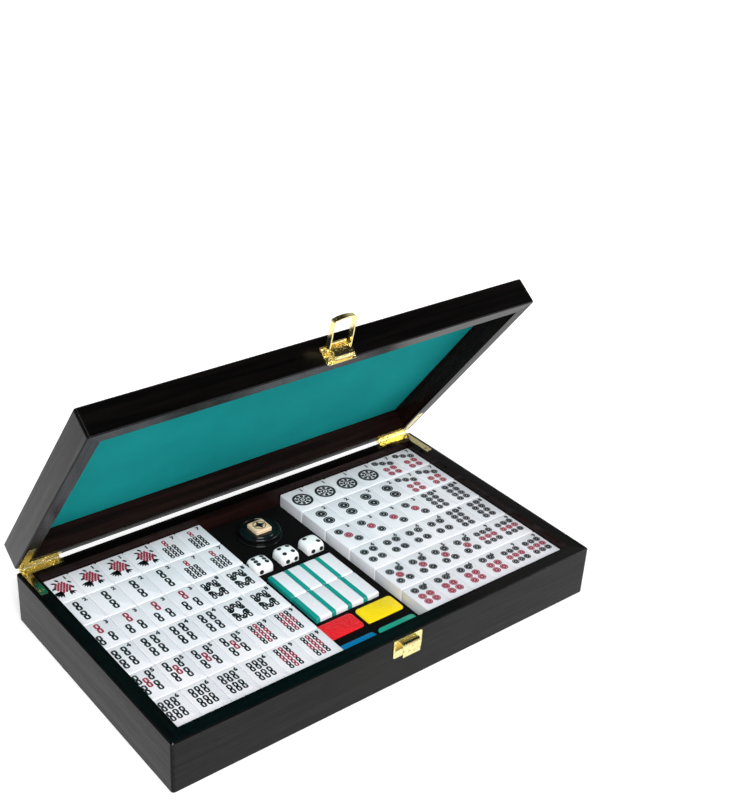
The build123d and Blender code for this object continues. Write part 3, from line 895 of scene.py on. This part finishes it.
@dataclass
class Strokes:
    """Shapes that the marks are made of."""

    line: float = 0.36
    slim: float = 0.86
    corner: float = 0.40
    overlap: float = 0.25
    proud: float = 0.03

    def coin(self, radius: float) -> Shape:
        """Dot: a broad ring round a smaller one."""
        rim, core = annulus(0.75 * radius, radius, 18), annulus(0.14 * radius, 0.70 * radius, 14)
        return Shape.joined([rim, core])

    def stick(self, length: float, width: float) -> Shape:
        """Bamboo: two closed links, one above the other.

        Args:
            length: over both links.
            width: before slim; the line and the corners are shares of the slim width.

        Returns:
            The stick along Y, round the origin.
        """
        link, width = length / 2, self.slim * width
        line = self.line * width
        tall = link + self.overlap * line
        outline = rounded_outline(width, tall, self.corner * width, np.array([0.0, line]), turns=3)
        flat = np.concatenate([outline, np.zeros(outline.shape[:2] + (1,))], -1)
        ring = grid(flat[::-1], wrap=True)
        return Shape.joined([ring.moved(y=side * link / 2) for side in (-1, 1)])

    def wheel(self, radius: float) -> Shape:
        """Single large dot: a broad rim, eight petals, a ring and a heart, in shares of its radius.

        Args:
            radius: the rim's.

        Returns:
            The dot, round the origin.
        """
        petal = disc(0.175 * radius, 10, 1.05).moved(y=0.56 * radius)
        petals = [petal.turned("Z", 45.0 * step + 22.5) for step in range(8)]
        rim, ring = annulus(0.75 * radius, radius, 36), annulus(0.20 * radius, 0.36 * radius)
        return Shape.joined([rim, ring, disc(0.11 * radius)] + petals)

    def leaf(self, length: float, width: float) -> Shape:
        """Pointed oval from the origin up: width sin(pi t) ^ 0.8 across, length t along.

        Args:
            length: from point to point.
            width: at its middle.

        Returns:
            The leaf, along Y.
        """
        along = np.linspace(0, 1, 8)
        half = width / 2 * np.sin(math.pi * along) ** 0.8
        right = np.stack([half, length * along, 0 * along], -1)
        left = right * np.array([-1, 1, 1])
        return grid(np.stack([left, right]))


@dataclass
class TileFaces:
    """Designs of the two suits, from their traditional patterns.

    A place on a tile is (x, y, turn, ink), in millimetres and degrees.
    """

    strokes: Strokes = field(default_factory=Strokes)

    @staticmethod
    def rows(columns: Sequence[float], rows: Sequence[float], ink: Ink = Ink.DARK) -> List[Place]:
        """Upright places on a grid, row by row from the top."""
        return [(x, y, 0.0, ink) for y in rows for x in columns]

    @staticmethod
    def marks(shape: Shape, places: Sequence[Place]) -> List[Mark]:
        """One mark of the shape at each place."""
        return [Mark(shape, ink, x, y, turn) for x, y, turn, ink in places]

    def bamboo(self, rank: int) -> List[Mark]:
        """Draw the bamboo suit.

        Args:
            rank: 1 to 9.

        Returns:
            The marks of that rank.
        """
        if rank == 1:
            return self.bird()
        dark, red, rows = Ink.DARK, Ink.RED, self.rows
        slanted = [
            (2.1 * side - 1.6, 5.1 * half + 0.2, 33.0 * side * half, dark)
            for side, half in ((-1, -1), (-1, 1), (1, -1), (1, 1))
        ]
        sides, levels = [-5.5, 2.3], [8.8, 1.4, -6.0]
        crossed = rows(sides, levels[::2]) + rows(sides, levels[1:2], red) + rows([-1.6], levels, red)
        # Each rank's places, and the length and the width of its sticks.
        designs = {
            2: (rows([-1.0], [6.6, -5.0]), 10.4, 5.0),
            3: (rows([-1.0], [7.0], red) + rows([-5.6, 3.4], [-5.0]), 10.4, 4.6),
            4: (rows([-4.7, 2.3], [6.6, -4.4]), 9.8, 4.7),
            5: (rows([-6.1, 3.0], [7.4, -4.2]) + rows([-1.6], [1.6], red), 9.8, 4.3),
            6: (rows([-5.8, -1.3, 3.2], [6.6, -3.8]), 9.2, 4.1),
            7: (rows([-5.5, -1.6, 2.3], [-0.6, -8.2]) + rows([-1.6], [7.6], red), 7.3, 3.7),
            8: (rows([-6.4, 3.2], [5.4, -4.9]) + slanted, 9.4, 3.9),
            9: (crossed, 7.2, 3.7),
        }
        places, length, width = designs[rank]
        return self.marks(self.strokes.stick(length, width), places)

    def bird(self) -> List[Mark]:
        """Draw a plain bird: red feathers in rows, and dark tips, tail and legs.

        Returns:
            Its marks.
        """
        dark, leaf = Ink.DARK, self.strokes.leaf
        spacing, lean = 2.3, 160.0
        # Each row of feathers: its height, their count, and where it starts.
        upper = [(8.2, 3, -1.4), (6.1, 4, -2.8), (4.0, 5, -3.9)]
        lower = [(1.9, 5, -2.8), (-0.2, 4, -1.7), (-2.3, 3, -0.4)]
        feathers = [
            (start + spacing * step, y, lean, Ink.RED)
            for y, count, start in upper + lower
            for step in range(count)
        ]
        crest = [(-1.2, 7.4, 62.0, dark), (1.2, 8.4, 24.0, dark)]
        wings = [(6.4, 6.8, -150.0, dark), (-3.6, 3.4, 120.0, dark), (6.2, 0.6, -165.0, dark)]
        tail = [(-2.2, -2.4, 104.0 + 17.0 * step, dark) for step in range(5)]
        legs = [(3.0, -4.9, turn, dark) for turn in (176.0, 206.0, 236.0)]
        plumage = self.marks(leaf(3.3, 2.0), feathers) + self.marks(leaf(4.2, 1.9), crest + wings)
        return plumage + self.marks(leaf(7.6, 1.9), tail) + self.marks(leaf(5.0, 1.7), legs)

    def dots(self, rank: int) -> List[Mark]:
        """Draw the dot suit.

        Args:
            rank: 1 to 9.

        Returns:
            The marks of that rank.
        """
        if rank == 1:
            return [Mark(self.strokes.wheel(8.5), Ink.DARK, 0.0, -0.8)]
        red, rows = Ink.RED, self.rows
        slope = rows([-7.0], [9.6]) + rows([-1.2], [6.8]) + rows([4.6], [3.7])
        thirds = [-6.6, -0.6, 5.4]
        # Each rank's places, and the radius of its dots.
        designs = {
            2: (rows([-0.1], [4.9, -5.3]), 4.6),
            3: (rows([-4.0], [7.7]) + rows([0.0], [0.5], red) + rows([4.1], [-6.9]), 3.5),
            4: (rows([-4.3, 4.3], [6.2, -4.4]), 3.4),
            5: (rows([-4.5, 4.3], [6.3, -6.2]) + rows([-0.1], [0.0], red), 3.3),
            6: (rows([-4.1, 3.6], [8.8]) + rows([-3.7, 3.6], [0.8, -5.9], red), 3.2),
            7: (slope + rows([-4.4, 2.7], [-2.8, -9.6], red), 3.0),
            8: (rows([-4.6, 2.0], [10.0, 3.8, -2.4, -8.6]), 2.95),
            9: (rows(thirds, [6.2, -6.2]) + rows(thirds, [0.0], red), 2.8),
        }
        places, radius = designs[rank]
        return self.marks(self.strokes.coin(radius), places)


@dataclass
class TileBlock:
    """One block of tiles: its upper fronts, its painted faces, and its plainer hidden layers."""

    side: str
    centre_x: float
    suit: Suit
    faces: TileFaces
    rows: int = 6
    columns: int = 6
    low_columns: int = 4
    corner: float = 1.3
    edge: float = 1.0
    dark_lift: float = 0.01
    index_height: float = 4.1
    index_weight: float = 0.06
    index_place: Tuple[float, float] = (6.9, 11.0)

    def centres(self) -> Array:
        """Lay out the tiles.

        Returns:
            Their centres on z = 0, as rows x columns x 3, the back row first.
        """
        x = self.centre_x + (np.arange(self.columns) - (self.columns - 1) / 2) * TILE_PITCH[0]
        y = BLOCK_Y - (np.arange(self.rows) - (self.rows - 1) / 2) * TILE_PITCH[1]
        grid_y, grid_x = np.meshgrid(y, x, indexing="ij")
        return np.stack([grid_x, grid_y, 0 * grid_x], -1)

    def rank(self, row: int, column: int) -> int:
        """Rank of the tile: 1 to 6 down the low columns, 7 to 9 in pairs of rows beyond."""
        return row + 1 if column < self.low_columns else self.rows + 1 + row // 2

    def numeral(self, rank: int) -> Shape:
        """Small index numeral, made a mesh from text.

        Args:
            rank: the digit.

        Returns:
            The digit as a flat shape, its centre at the origin.
        """
        text = bpy.data.curves.new(f"numeral_{rank}", "FONT")
        text.body = str(rank)
        text.resolution_u = 2
        text.offset = self.index_weight
        holder = add_object(text.name, text)
        graph = bpy.context.evaluated_depsgraph_get()
        mesh = bpy.data.meshes.new_from_object(holder.evaluated_get(graph))
        mesh.calc_loop_triangles()
        points = np.zeros(len(mesh.vertices) * 3)
        mesh.vertices.foreach_get("co", points)
        triangles = np.zeros(len(mesh.loop_triangles) * 3, np.int32)
        mesh.loop_triangles.foreach_get("vertices", triangles)
        bpy.data.objects.remove(holder)
        bpy.data.meshes.remove(mesh)
        points = points.reshape(-1, 3)
        low, high = points.min(0), points.max(0)
        points = (points - (low + high) / 2) * self.index_height / (high[1] - low[1])
        return Shape(points, [triangles.reshape(-1, 3)])

    def marks(self) -> Dict[Ink, List[Shape]]:
        """Lay every mark of the block on its tiles' tops.

        Returns:
            The shapes of each ink.
        """
        centres = self.centres()
        draw = {Suit.BAMBOO: self.faces.bamboo, Suit.DOTS: self.faces.dots}[self.suit]
        level = TILE_TOP + self.faces.strokes.proud
        found: Dict[Ink, List[Shape]] = {ink: [] for ink in Ink}
        for rank in range(1, 10):
            cells = [cell for cell in np.ndindex(self.rows, self.columns) if self.rank(*cell) == rank]
            places = np.array([centres[cell] for cell in cells]) + np.array([0, 0, level])
            index = Mark(self.numeral(rank), Ink.DARK, *self.index_place)
            for mark in draw(rank) + [index]:
                over = self.dark_lift if mark.ink is Ink.DARK else 0.0
                found[mark.ink].append(mark.placed().moved(z=over).repeated(places))
        return found

    def build(self) -> None:
        """Make the block's upper fronts and paint, and dress its other layers."""
        places = self.centres().reshape(-1, 3) + np.array([0, 0, TILE_TOP - TILE_FRONT])
        slab = rounded_slab((TILE_WIDTH, TILE_HEIGHT, TILE_FRONT), self.corner, self.edge)
        fronts = slab.repeated(places).piece(f"{self.side}_tile_tops", "base", "tile_front", TILE_WHITE)
        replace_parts(fronts, f"{self.side}_upper_tile_fronts")
        TILE_WHITE.dress_nodes(f"{self.side}_lower_tile_fronts")
        TILE_TEAL.dress_nodes(f"{self.side}_lower_tile_backs", f"{self.side}_upper_tile_backs")
        for ink, shapes in self.marks().items():
            paint = DARK_PAINT if ink is Ink.DARK else RED_PAINT
            Shape.joined(shapes).piece(f"{self.side}_{ink.value}_marks", "base", "tile_front", paint)


@dataclass
class SpareTiles:
    """Eight tiles on their long edges in the tray, teal backs to the left."""

    centre_y: float = -14.4
    columns: int = 4
    rows: int = 2
    gap: float = 0.1
    corner: float = 1.7
    edge: float = 1.1

    def centres(self) -> Array:
        """Lay out the tiles.

        Returns:
            The middle of the joint between each front and its back, as rows of x, y and z.
        """
        pitch = TILE_FRONT + TILE_BACK + self.gap
        x = (np.arange(self.columns) - (self.columns - 1) / 2) * pitch - (TILE_FRONT - TILE_BACK) / 2
        y = self.centre_y + (np.arange(self.rows) - (self.rows - 1) / 2) * TILE_PITCH[1]
        grid_x, grid_y = np.meshgrid(x, y, indexing="ij")
        return np.stack([grid_x, grid_y, 0 * grid_x + FLOOR + TILE_WIDTH / 2], -1).reshape(-1, 3)

    def build(self) -> None:
        """Make the fronts and the backs, each a slab turned on its side."""
        front = rounded_slab((TILE_WIDTH, TILE_HEIGHT, TILE_FRONT), self.corner, self.edge)
        back = rounded_slab((TILE_WIDTH, TILE_HEIGHT, TILE_BACK), self.corner, self.edge)
        places = self.centres()
        fronts = front.turned("Y", 90.0).repeated(places)
        fronts = fronts.piece("spare_fronts", "base", "tile_front", TILE_WHITE)
        backs = back.turned("Y", -90.0).repeated(places)
        backs = backs.piece("spare_backs", "base", "tile_back", TILE_TEAL)
        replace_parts(fronts, "spare_tile_fronts")
        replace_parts(backs, "spare_tile_backs")


# ---------------------------------------------------------------------------- tray and small things
@dataclass
class Dice:
    """Three dice, as rounded cubes with painted black pips.

    Its tops and fronts are the counts that the dice show upwards and to the front.
    """

    tops: Tuple[int, ...] = (6, 4, 2)
    fronts: Tuple[int, ...] = (2, 5, 4)
    size: float = 16.8
    pitch: float = 23.4
    centre_y: float = 32.0
    sunk: float = 10.0
    power: float = 4.0
    grid_steps: int = 18
    pip: float = 1.75
    spread: float = 3.7
    proud: float = 0.03
    sharp: float = 80.0
    finish: Finish = Moulded("die_white", (0.93, 0.94, 0.95), gloss=0.16, tint=0.04)
    paint: Finish = Moulded("die_pips", (0.012, 0.012, 0.013), gloss=0.3, tint=0.1)

    def body(self) -> Shape:
        """Rounded cube: |x|^p + |y|^p + |z|^p = (size / 2)^p, on six square grids.

        Returns:
            The cube, round the origin.
        """
        across = np.tan(np.linspace(-math.pi / 4, math.pi / 4, self.grid_steps))
        u, v = np.meshgrid(across, across, indexing="ij")
        flat = np.stack([u, v, np.ones_like(u)], -1)
        reach = (self.size / 2) / (np.abs(flat) ** self.power).sum(-1) ** (1 / self.power)
        top = grid(flat * reach[..., None])
        sides = [top.turned("X", 90.0).turned("Z", 90.0 * step) for step in range(4)]
        return Shape.joined([top, top.turned("X", 180.0)] + sides)

    def spot(self, u: float, v: float) -> Shape:
        """Pip on the top: rings about (u, v), laid on the cube's rounded surface.

        Args:
            u: the pip's place along X.
            v: its place along Y.

        Returns:
            The pip, a little proud of the surface.
        """
        turn = np.linspace(0, 2 * math.pi, 16, endpoint=False)
        radius = np.array([[0.02], [0.6], [1.0]]) * self.pip
        x, y = u + radius * np.cos(turn), v + radius * np.sin(turn)
        rest = (self.size / 2) ** self.power - np.abs(x) ** self.power - np.abs(y) ** self.power
        z = np.maximum(rest, 1e-9) ** (1 / self.power) + self.proud
        return grid(np.stack([x, y, z], -1), wrap=True)

    def pips(self, count: int) -> List[Shape]:
        """Pips of one face, on the top of the die.

        Args:
            count: 1 to 6.

        Returns:
            The pips.
        """
        step = self.spread
        corners = [(step, step), (-step, -step), (step, -step), (-step, step)]
        places = {
            1: [(0, 0)],
            2: corners[2:],
            3: corners[2:] + [(0, 0)],
            4: corners,
            5: corners + [(0, 0)],
            6: corners + [(step, 0), (-step, 0)],
        }
        return [self.spot(u, v) for u, v in places[count]]

    def build(self) -> None:
        """Make each die. Opposite faces add up to seven."""
        for order, (top, front) in enumerate(zip(self.tops, self.fronts)):
            place = ((order - 1) * self.pitch, self.centre_y, TRAY_TOP - self.sunk + self.size / 2)
            side = next(n for n in (1, 2, 3, 4, 5, 6) if n not in (top, 7 - top, front, 7 - front))
            # Each face's count, how far it tips from the top about X, and its spin about Z.
            shown = [(top, 0.0, 0.0), (7 - top, 180.0, 0.0), (front, 90.0, 0.0)]
            shown += [(7 - front, 90.0, 180.0), (side, 90.0, -90.0), (7 - side, 90.0, 90.0)]
            pips = [
                pip.turned("X", tip).turned("Z", spin)
                for count, tip, spin in shown
                for pip in self.pips(count)
            ]
            name, body = f"rounded_die_{order + 1}", self.body().moved(*place)
            die = body.piece(name, "base", "die_white", self.finish, self.sharp)
            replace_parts(die, f"die_{order + 1}")
            spots = Shape.joined(pips).moved(*place)
            spots.piece(f"pips_{order + 1}", "base", "die_white", self.paint, self.sharp)


@dataclass
class WindMarker:
    """Light wooden cube in a black turned stand."""

    centre_y: float = 66.7
    cube: float = 14.4
    rise: float = 9.5
    body_radius: float = 15.4
    flange_radius: float = 17.8
    step_radius: float = 16.4
    rim_bend: float = 0.7
    top_bend: float = 1.3
    waist_depth: float = 0.5
    height: float = 6.4
    under_cube: float = 2.3
    cube_corner: float = 1.8
    cube_edge: float = 1.5
    cube_low_edge: float = 1.0

    def rounded(self, radius: float, height: float, bend: float) -> List[Tuple[float, float]]:
        """Quarter-round edge: (radius - b + b cos a, height + b sin a), with b the bend."""
        turn = np.linspace(0, math.pi / 2, 7)
        return [(radius - bend + bend * math.cos(a), height + bend * math.sin(a)) for a in turn]

    def stand(self) -> Shape:
        """Turned stand: a flange with a rounded rim, a waist, and a body with a rounded top.

        Returns:
            The stand, round the Z axis, with a groove turned in its top.
        """
        rim = self.rounded(self.flange_radius, TRAY_TOP + 1.0, self.rim_bend)
        top = self.rounded(self.step_radius, TRAY_TOP + 5.1, self.top_bend)
        waist_radius = self.step_radius - self.waist_depth
        waist = [(waist_radius, TRAY_TOP + 1.75), (waist_radius, TRAY_TOP + 2.6)]
        bottom = TRAY_TOP + self.rise - self.cube - self.under_cube
        low = [(0.0, bottom), (self.body_radius, bottom), (self.body_radius, TRAY_TOP)]
        shelf = [(self.flange_radius, TRAY_TOP + 0.05)]
        high = TRAY_TOP + self.height
        groove = [(13.6, high), (13.2, TRAY_TOP + 5.9), (12.8, high), (0.0, high)]
        return lathe(low + shelf + rim + waist + top + groove)

    def rose(self) -> Shape:
        """Plain rose: four long leaves, four short ones between them, and a ring.

        Returns:
            The rose, flat, round the origin.
        """
        leaf = Strokes().leaf
        kinds = ((leaf(4.6, 2.3), 0.0), (leaf(3.0, 1.4), 45.0))
        leaves = [shape.turned("Z", 90.0 * step + lean) for shape, lean in kinds for step in range(4)]
        return Shape.joined(leaves + [annulus(4.6, 5.3, 28)])

    def build(self) -> None:
        """Make the stand, the cube and the plain rose on its top."""
        stand = self.stand().moved(y=self.centre_y)
        stand = stand.piece("turned_stand", "base", "marker_stand", STAND_BLACK, 50.0)
        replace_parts(stand, "marker_base")
        size = (self.cube, self.cube, self.cube)
        slab = rounded_slab(size, self.cube_corner, self.cube_edge, self.cube_low_edge, turns=6)
        top = TRAY_TOP + self.rise
        cube = slab.moved(y=self.centre_y, z=top - self.cube)
        cube = cube.piece("wooden_cube", "base", "marker_wood", PlainWood("plain_wood"), 60.0)
        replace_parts(cube, "marker_cube")
        mark = self.rose().moved(y=self.centre_y, z=top + Strokes.proud)
        mark.piece("marker_rose", "base", "marker_wood", DARK_PAINT)


@dataclass
class Counters:
    """Four stacks of flat counters with rounded corners."""

    width: float = 32.6
    depth: float = 17.6
    thickness: float = 3.2
    corner: float = 3.0
    edge: float = 0.8
    stack: int = 6
    column_x: float = 17.9
    back_y: float = -57.0
    front_y: float = -82.6

    def build(self) -> None:
        """Make each stack in its own plastic."""
        stacks = {
            "red": ((0.760, 0.014, 0.022), -self.column_x, self.back_y),
            "yellow": ((0.950, 0.690, 0.003), self.column_x, self.back_y),
            "blue": ((0.004, 0.210, 0.480), -self.column_x, self.front_y),
            "green": ((0.020, 0.420, 0.290), self.column_x, self.front_y),
        }
        size = (self.width, self.depth, self.thickness)
        slab = rounded_slab(size, self.corner, self.edge, self.edge)
        heights = FLOOR + np.arange(self.stack) * self.thickness
        for name, (colour, x, y) in stacks.items():
            places = np.stack([0 * heights + x, 0 * heights + y, heights], -1)
            finish = Moulded(f"{name}_plastic", colour, gloss=0.22, tint=0.08)
            piece = slab.repeated(places).piece(f"{name}_stack", "base", f"counter_{name}", finish)
            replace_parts(piece, f"{name}_counters")


# ---------------------------------------------------------------------------- fittings
@dataclass
class Fittings:
    """Hinges, latch and hook in gilt. Sheet pieces get softened edges."""

    edge: float = 0.16
    weld: float = 0.002
    flat_angle: float = 1.5
    sheet_nodes: Tuple[str, ...] = (
        "left_hinge_base_leaf",
        "right_hinge_base_leaf",
        "left_hinge_lid_leaf",
        "right_hinge_lid_leaf",
        "latch_plate",
        "latch_lever",
        "catch_hook",
        "latch_bail",
    )
    plain_nodes: Tuple[str, ...] = (
        "left_hinge_pin",
        "right_hinge_pin",
        "latch_lever_pin",
        "latch_bail_rivets",
    )
    screw_plan: Tuple[Tuple[float, float], ...] = ((175.0, 76.0), (175.0, 101.0), (151.0, 101.0))
    screw_levels: Tuple[Tuple[str, float], ...] = (("base", 40.6), ("lid", 40.9))
    screw_radius: float = 1.85
    screw_dome: float = 0.10
    slot_width: float = 0.42
    slot_length: float = 2.2
    nail_radius: float = 0.97
    nail_dome: float = 0.42
    plate_thickness: float = 0.8

    def dome(self, radius: float, height: float, skirt: float) -> Shape:
        """Closed low dome: (r cos a, h sin a) for a over a quarter turn, on a short skirt.

        Args:
            radius: of its rim, which is on z = 0.
            height: of its top above the rim.
            skirt: how far it goes on below the rim.

        Returns:
            The dome, round the Z axis.
        """
        bend = np.linspace(0, math.pi / 2, 6)
        pole = 0.02
        line = [(radius * math.cos(a), height * math.sin(a)) for a in bend]
        return lathe([(pole, -skirt), (radius, -skirt)] + line[:-1] + [(pole, height)], 20)

    def screws(self) -> None:
        """Round heads with a flat dark cross of painted shade for the recess, in place of the plain
        screws.
        """
        plan = np.array([(sign * x, y, 0.0) for sign in (1, -1) for x, y in self.screw_plan])
        head = self.dome(self.screw_radius, self.screw_dome, skirt=0.5)
        # The recess is not cut: a flat cross of painted shade lies just over each head.
        cross = [bar(self.slot_width, self.slot_length), bar(self.slot_length, self.slot_width)]
        slot_shade = Shape.joined(cross).moved(z=self.screw_dome + 0.01)
        for body, level in self.screw_levels:
            for shape, name, finish in ((head, "screw_heads", GILT), (slot_shade, "screw_slot_shade", RECESS_SHADE)):
                shape = shape.turned("X", 180.0) if body == "lid" else shape
                shape = shape.repeated(plan + np.array([0, 0, level]))
                shape = shape.opened() if body == "lid" else shape
                piece = shape.piece(f"{body}_{name}", body, "gilt_metal", finish)
                if name == "screw_heads":
                    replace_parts(piece, f"hinge_{body}_screws")

    def nails(self) -> None:
        """Domed nail heads at the corners of the latch's plate and the hook's."""
        head = self.dome(self.nail_radius, self.nail_dome, skirt=0.3)
        head = head.turned("X", 90.0).moved(y=FRONT_Y - self.plate_thickness)
        # Each plate's nails: node, body, distance either side of the latch, lower and upper level.
        plates = (
            ("latch_plate_nails", "lid", 10.3, 41.7, 51.9),
            ("catch_hook_nails", "base", 10.5, 26.2, 37.4),
        )
        for node, body, half, low, high in plates:
            places = np.array([(LATCH_X + sign * half, 0.0, z) for sign in (-1, 1) for z in (low, high)])
            shape = head.repeated(places)
            shape = shape.opened() if body == "lid" else shape
            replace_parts(shape.piece(f"round_{node}", body, "gilt_metal", GILT), node)

    def softened(self, name: str) -> bpy.types.Object:
        """Copy a node, join up its faces and round its edges with a Bevel.

        Args:
            name: the CAD node.

        Returns:
            The copy, in the node's place.
        """
        source = frame["nodes"][name]
        mesh = source.data.copy()
        work = bmesh.new()
        work.from_mesh(mesh)
        bmesh.ops.remove_doubles(work, verts=work.verts, dist=self.weld * MILLI)
        flat = math.radians(self.flat_angle)
        bmesh.ops.dissolve_limit(work, angle_limit=flat, verts=work.verts, edges=work.edges)
        work.to_mesh(mesh)
        work.free()
        shade(mesh, GILT, 35.0)
        piece = add_object(f"soft_{name}", mesh)
        bevel = piece.modifiers.new("edge", "BEVEL")
        bevel.width = self.edge * MILLI
        bevel.segments = 2
        bevel.limit_method = "ANGLE"
        bevel.angle_limit = math.radians(40.0)
        bevel.harden_normals = False
        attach(piece, source["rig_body"])
        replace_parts(piece, name)
        return piece

    def build(self) -> None:
        """Soften the sheet pieces and gild the rest."""
        for name in self.sheet_nodes:
            self.softened(name)
        GILT.dress_nodes(*self.plain_nodes)
        self.screws()
        self.nails()
        log.info("fittings dressed")


# ---------------------------------------------------------------------------- studio
@dataclass
class Studio:
    """Plain pale floor, soft lamps, and the camera at the photograph's angle.

    Its camera's position is in millimetres and its turn in degrees. The surroundings fade from
    the walls' level to the ceiling's, and the floor's glow is what the camera sees of it.
    """

    position: Tuple[float, float, float] = (-476.77, -611.35, 593.64)
    turn: Tuple[float, float, float] = (60.3196, -3.0034, -38.3764)
    lens: float = 58.83
    shift: Tuple[float, float] = (0.0101, 0.0351)
    wall: float = 0.50
    ceiling: float = 0.015
    near_glow: float = 0.38
    far_glow: float = 1.0
    floor_half: float = 4000.0
    floor_drop: float = 0.05
    floor_tones: Tuple[Colour, Colour] = ((0.65, 0.65, 0.65), (0.68, 0.68, 0.68))
    aim: Tuple[float, float, float] = (0.0, 0.0, 0.05)

    def camera(self) -> None:
        """Add the camera."""
        data = bpy.data.cameras.new("camera")
        data.lens = self.lens
        data.sensor_width = 36.0
        data.shift_x, data.shift_y = self.shift
        data.clip_end = 50.0
        holder = add_object("camera", data)
        holder.location = Vector(self.position) * MILLI
        holder.rotation_euler = Euler([math.radians(part) for part in self.turn], "XYZ")
        bpy.context.scene.camera = holder

    def floor(self) -> None:
        """Add the floor, which looks white to the camera and keeps a soft shadow, except behind the
        case, where painted light lifts the lid's shadow.
        """
        line = np.linspace(-self.floor_half, self.floor_half, 9)
        grid_x, grid_y = np.meshgrid(line, line, indexing="ij")
        shape = grid(np.stack([grid_x, grid_y, 0 * grid_x - self.floor_drop], -1))
        mesh = bpy.data.meshes.new("floor")
        mesh.from_pydata((shape.points * MILLI).tolist(), [], shape.faces[0].tolist())
        mesh.materials.append(bpy.data.materials.new("floor_white"))
        graph = Graph(mesh.materials[0], "Principled BSDF")
        rays = ("Is Camera Ray", "Is Glossy Ray", "Is Transmission Ray")
        seen, mirrored, through = (graph.wire("ShaderNodeLightPath", {}, {}, ray) for ray in rays)
        place = graph.place()
        distance = graph.wire("ShaderNodeVectorMath", {"operation": "LENGTH"}, {0: place}, "Value")
        # Behind the case the floor glows more: painted light over the lid's shadow, seen through the gap
        # between lid and base.
        far, behind = distance.ramp(0.5, 1.5), place.part(1).ramp(0.10, 0.18)
        share = 1.0 - (1.0 - far) * (1.0 - 0.5 * behind)
        level = self.near_glow + (self.far_glow - self.near_glow) * share
        glow = (seen + mirrored + through) * level
        graph.dress(
            Base_Color=graph.blend(graph.noise(place, scale=3.0, detail=2.0), *self.floor_tones),
            Emission_Color=graph.wire("ShaderNodeCombineColor", {}, {0: glow, 1: glow, 2: glow}),
            Roughness=0.8,
            Emission_Strength=1.0,
            Specular_IOR_Level=0.1,
        )
        add_object("floor", mesh)

    def world(self) -> None:
        """Pale walls all round, up to a dark ceiling above the lamps."""
        bpy.context.scene.world = bpy.data.worlds.new("studio")
        graph = Graph(bpy.context.scene.world, "Background")
        height = graph.wire("ShaderNodeTexCoord", {}, {}, "Generated").part(2)
        level = height.ramp(0.42, 0.74, self.wall, self.ceiling)
        graph.dress(Color=(1.0, 1.0, 1.0, 1.0), Strength=level)

    def lamp(self, name: str, place: Tuple[float, float, float], size: float, watts: float) -> None:
        """Add a square soft lamp that looks at the case.

        Args:
            name: the lamp's name.
            place: where it stands, in metres.
            size: its side, in metres.
            watts: its power.
        """
        data = bpy.data.lights.new(name, "AREA")
        data.size = size
        data.energy = watts
        holder = add_object(name, data)
        holder.location = place
        line = Vector(self.aim) - Vector(place)
        holder.rotation_euler = line.to_track_quat("-Z", "Y").to_euler()

    def build(self) -> None:
        """Set up the floor, the light and the camera."""
        bpy.context.scene.view_settings.view_transform = "Standard"
        self.floor()
        self.world()
        self.lamp("key", place=(-0.75, -1.55, 1.95), size=1.5, watts=85.0)
        self.lamp("fill", place=(2.2, -1.7, 0.9), size=1.0, watts=26.0)
        self.lamp("back", place=(0.2, 2.1, 2.3), size=1.3, watts=8.0)
        self.camera()


def main() -> None:
    """Build the dressed case and set up the studio."""
    logging.basicConfig(level=logging.INFO, format="%(name)s: %(message)s")
    WoodenCase().dress()
    Linings().build()
    faces = TileFaces()
    TileBlock("left", -BLOCK_X, Suit.BAMBOO, faces).build()
    TileBlock("right", BLOCK_X, Suit.DOTS, faces).build()
    SpareTiles().build()
    TRAY_BLACK.dress_nodes("centre_tray")
    Dice().build()
    WindMarker().build()
    Counters().build()
    Fittings().build()
    Studio().build()


if __name__ == "__main__":
    main()
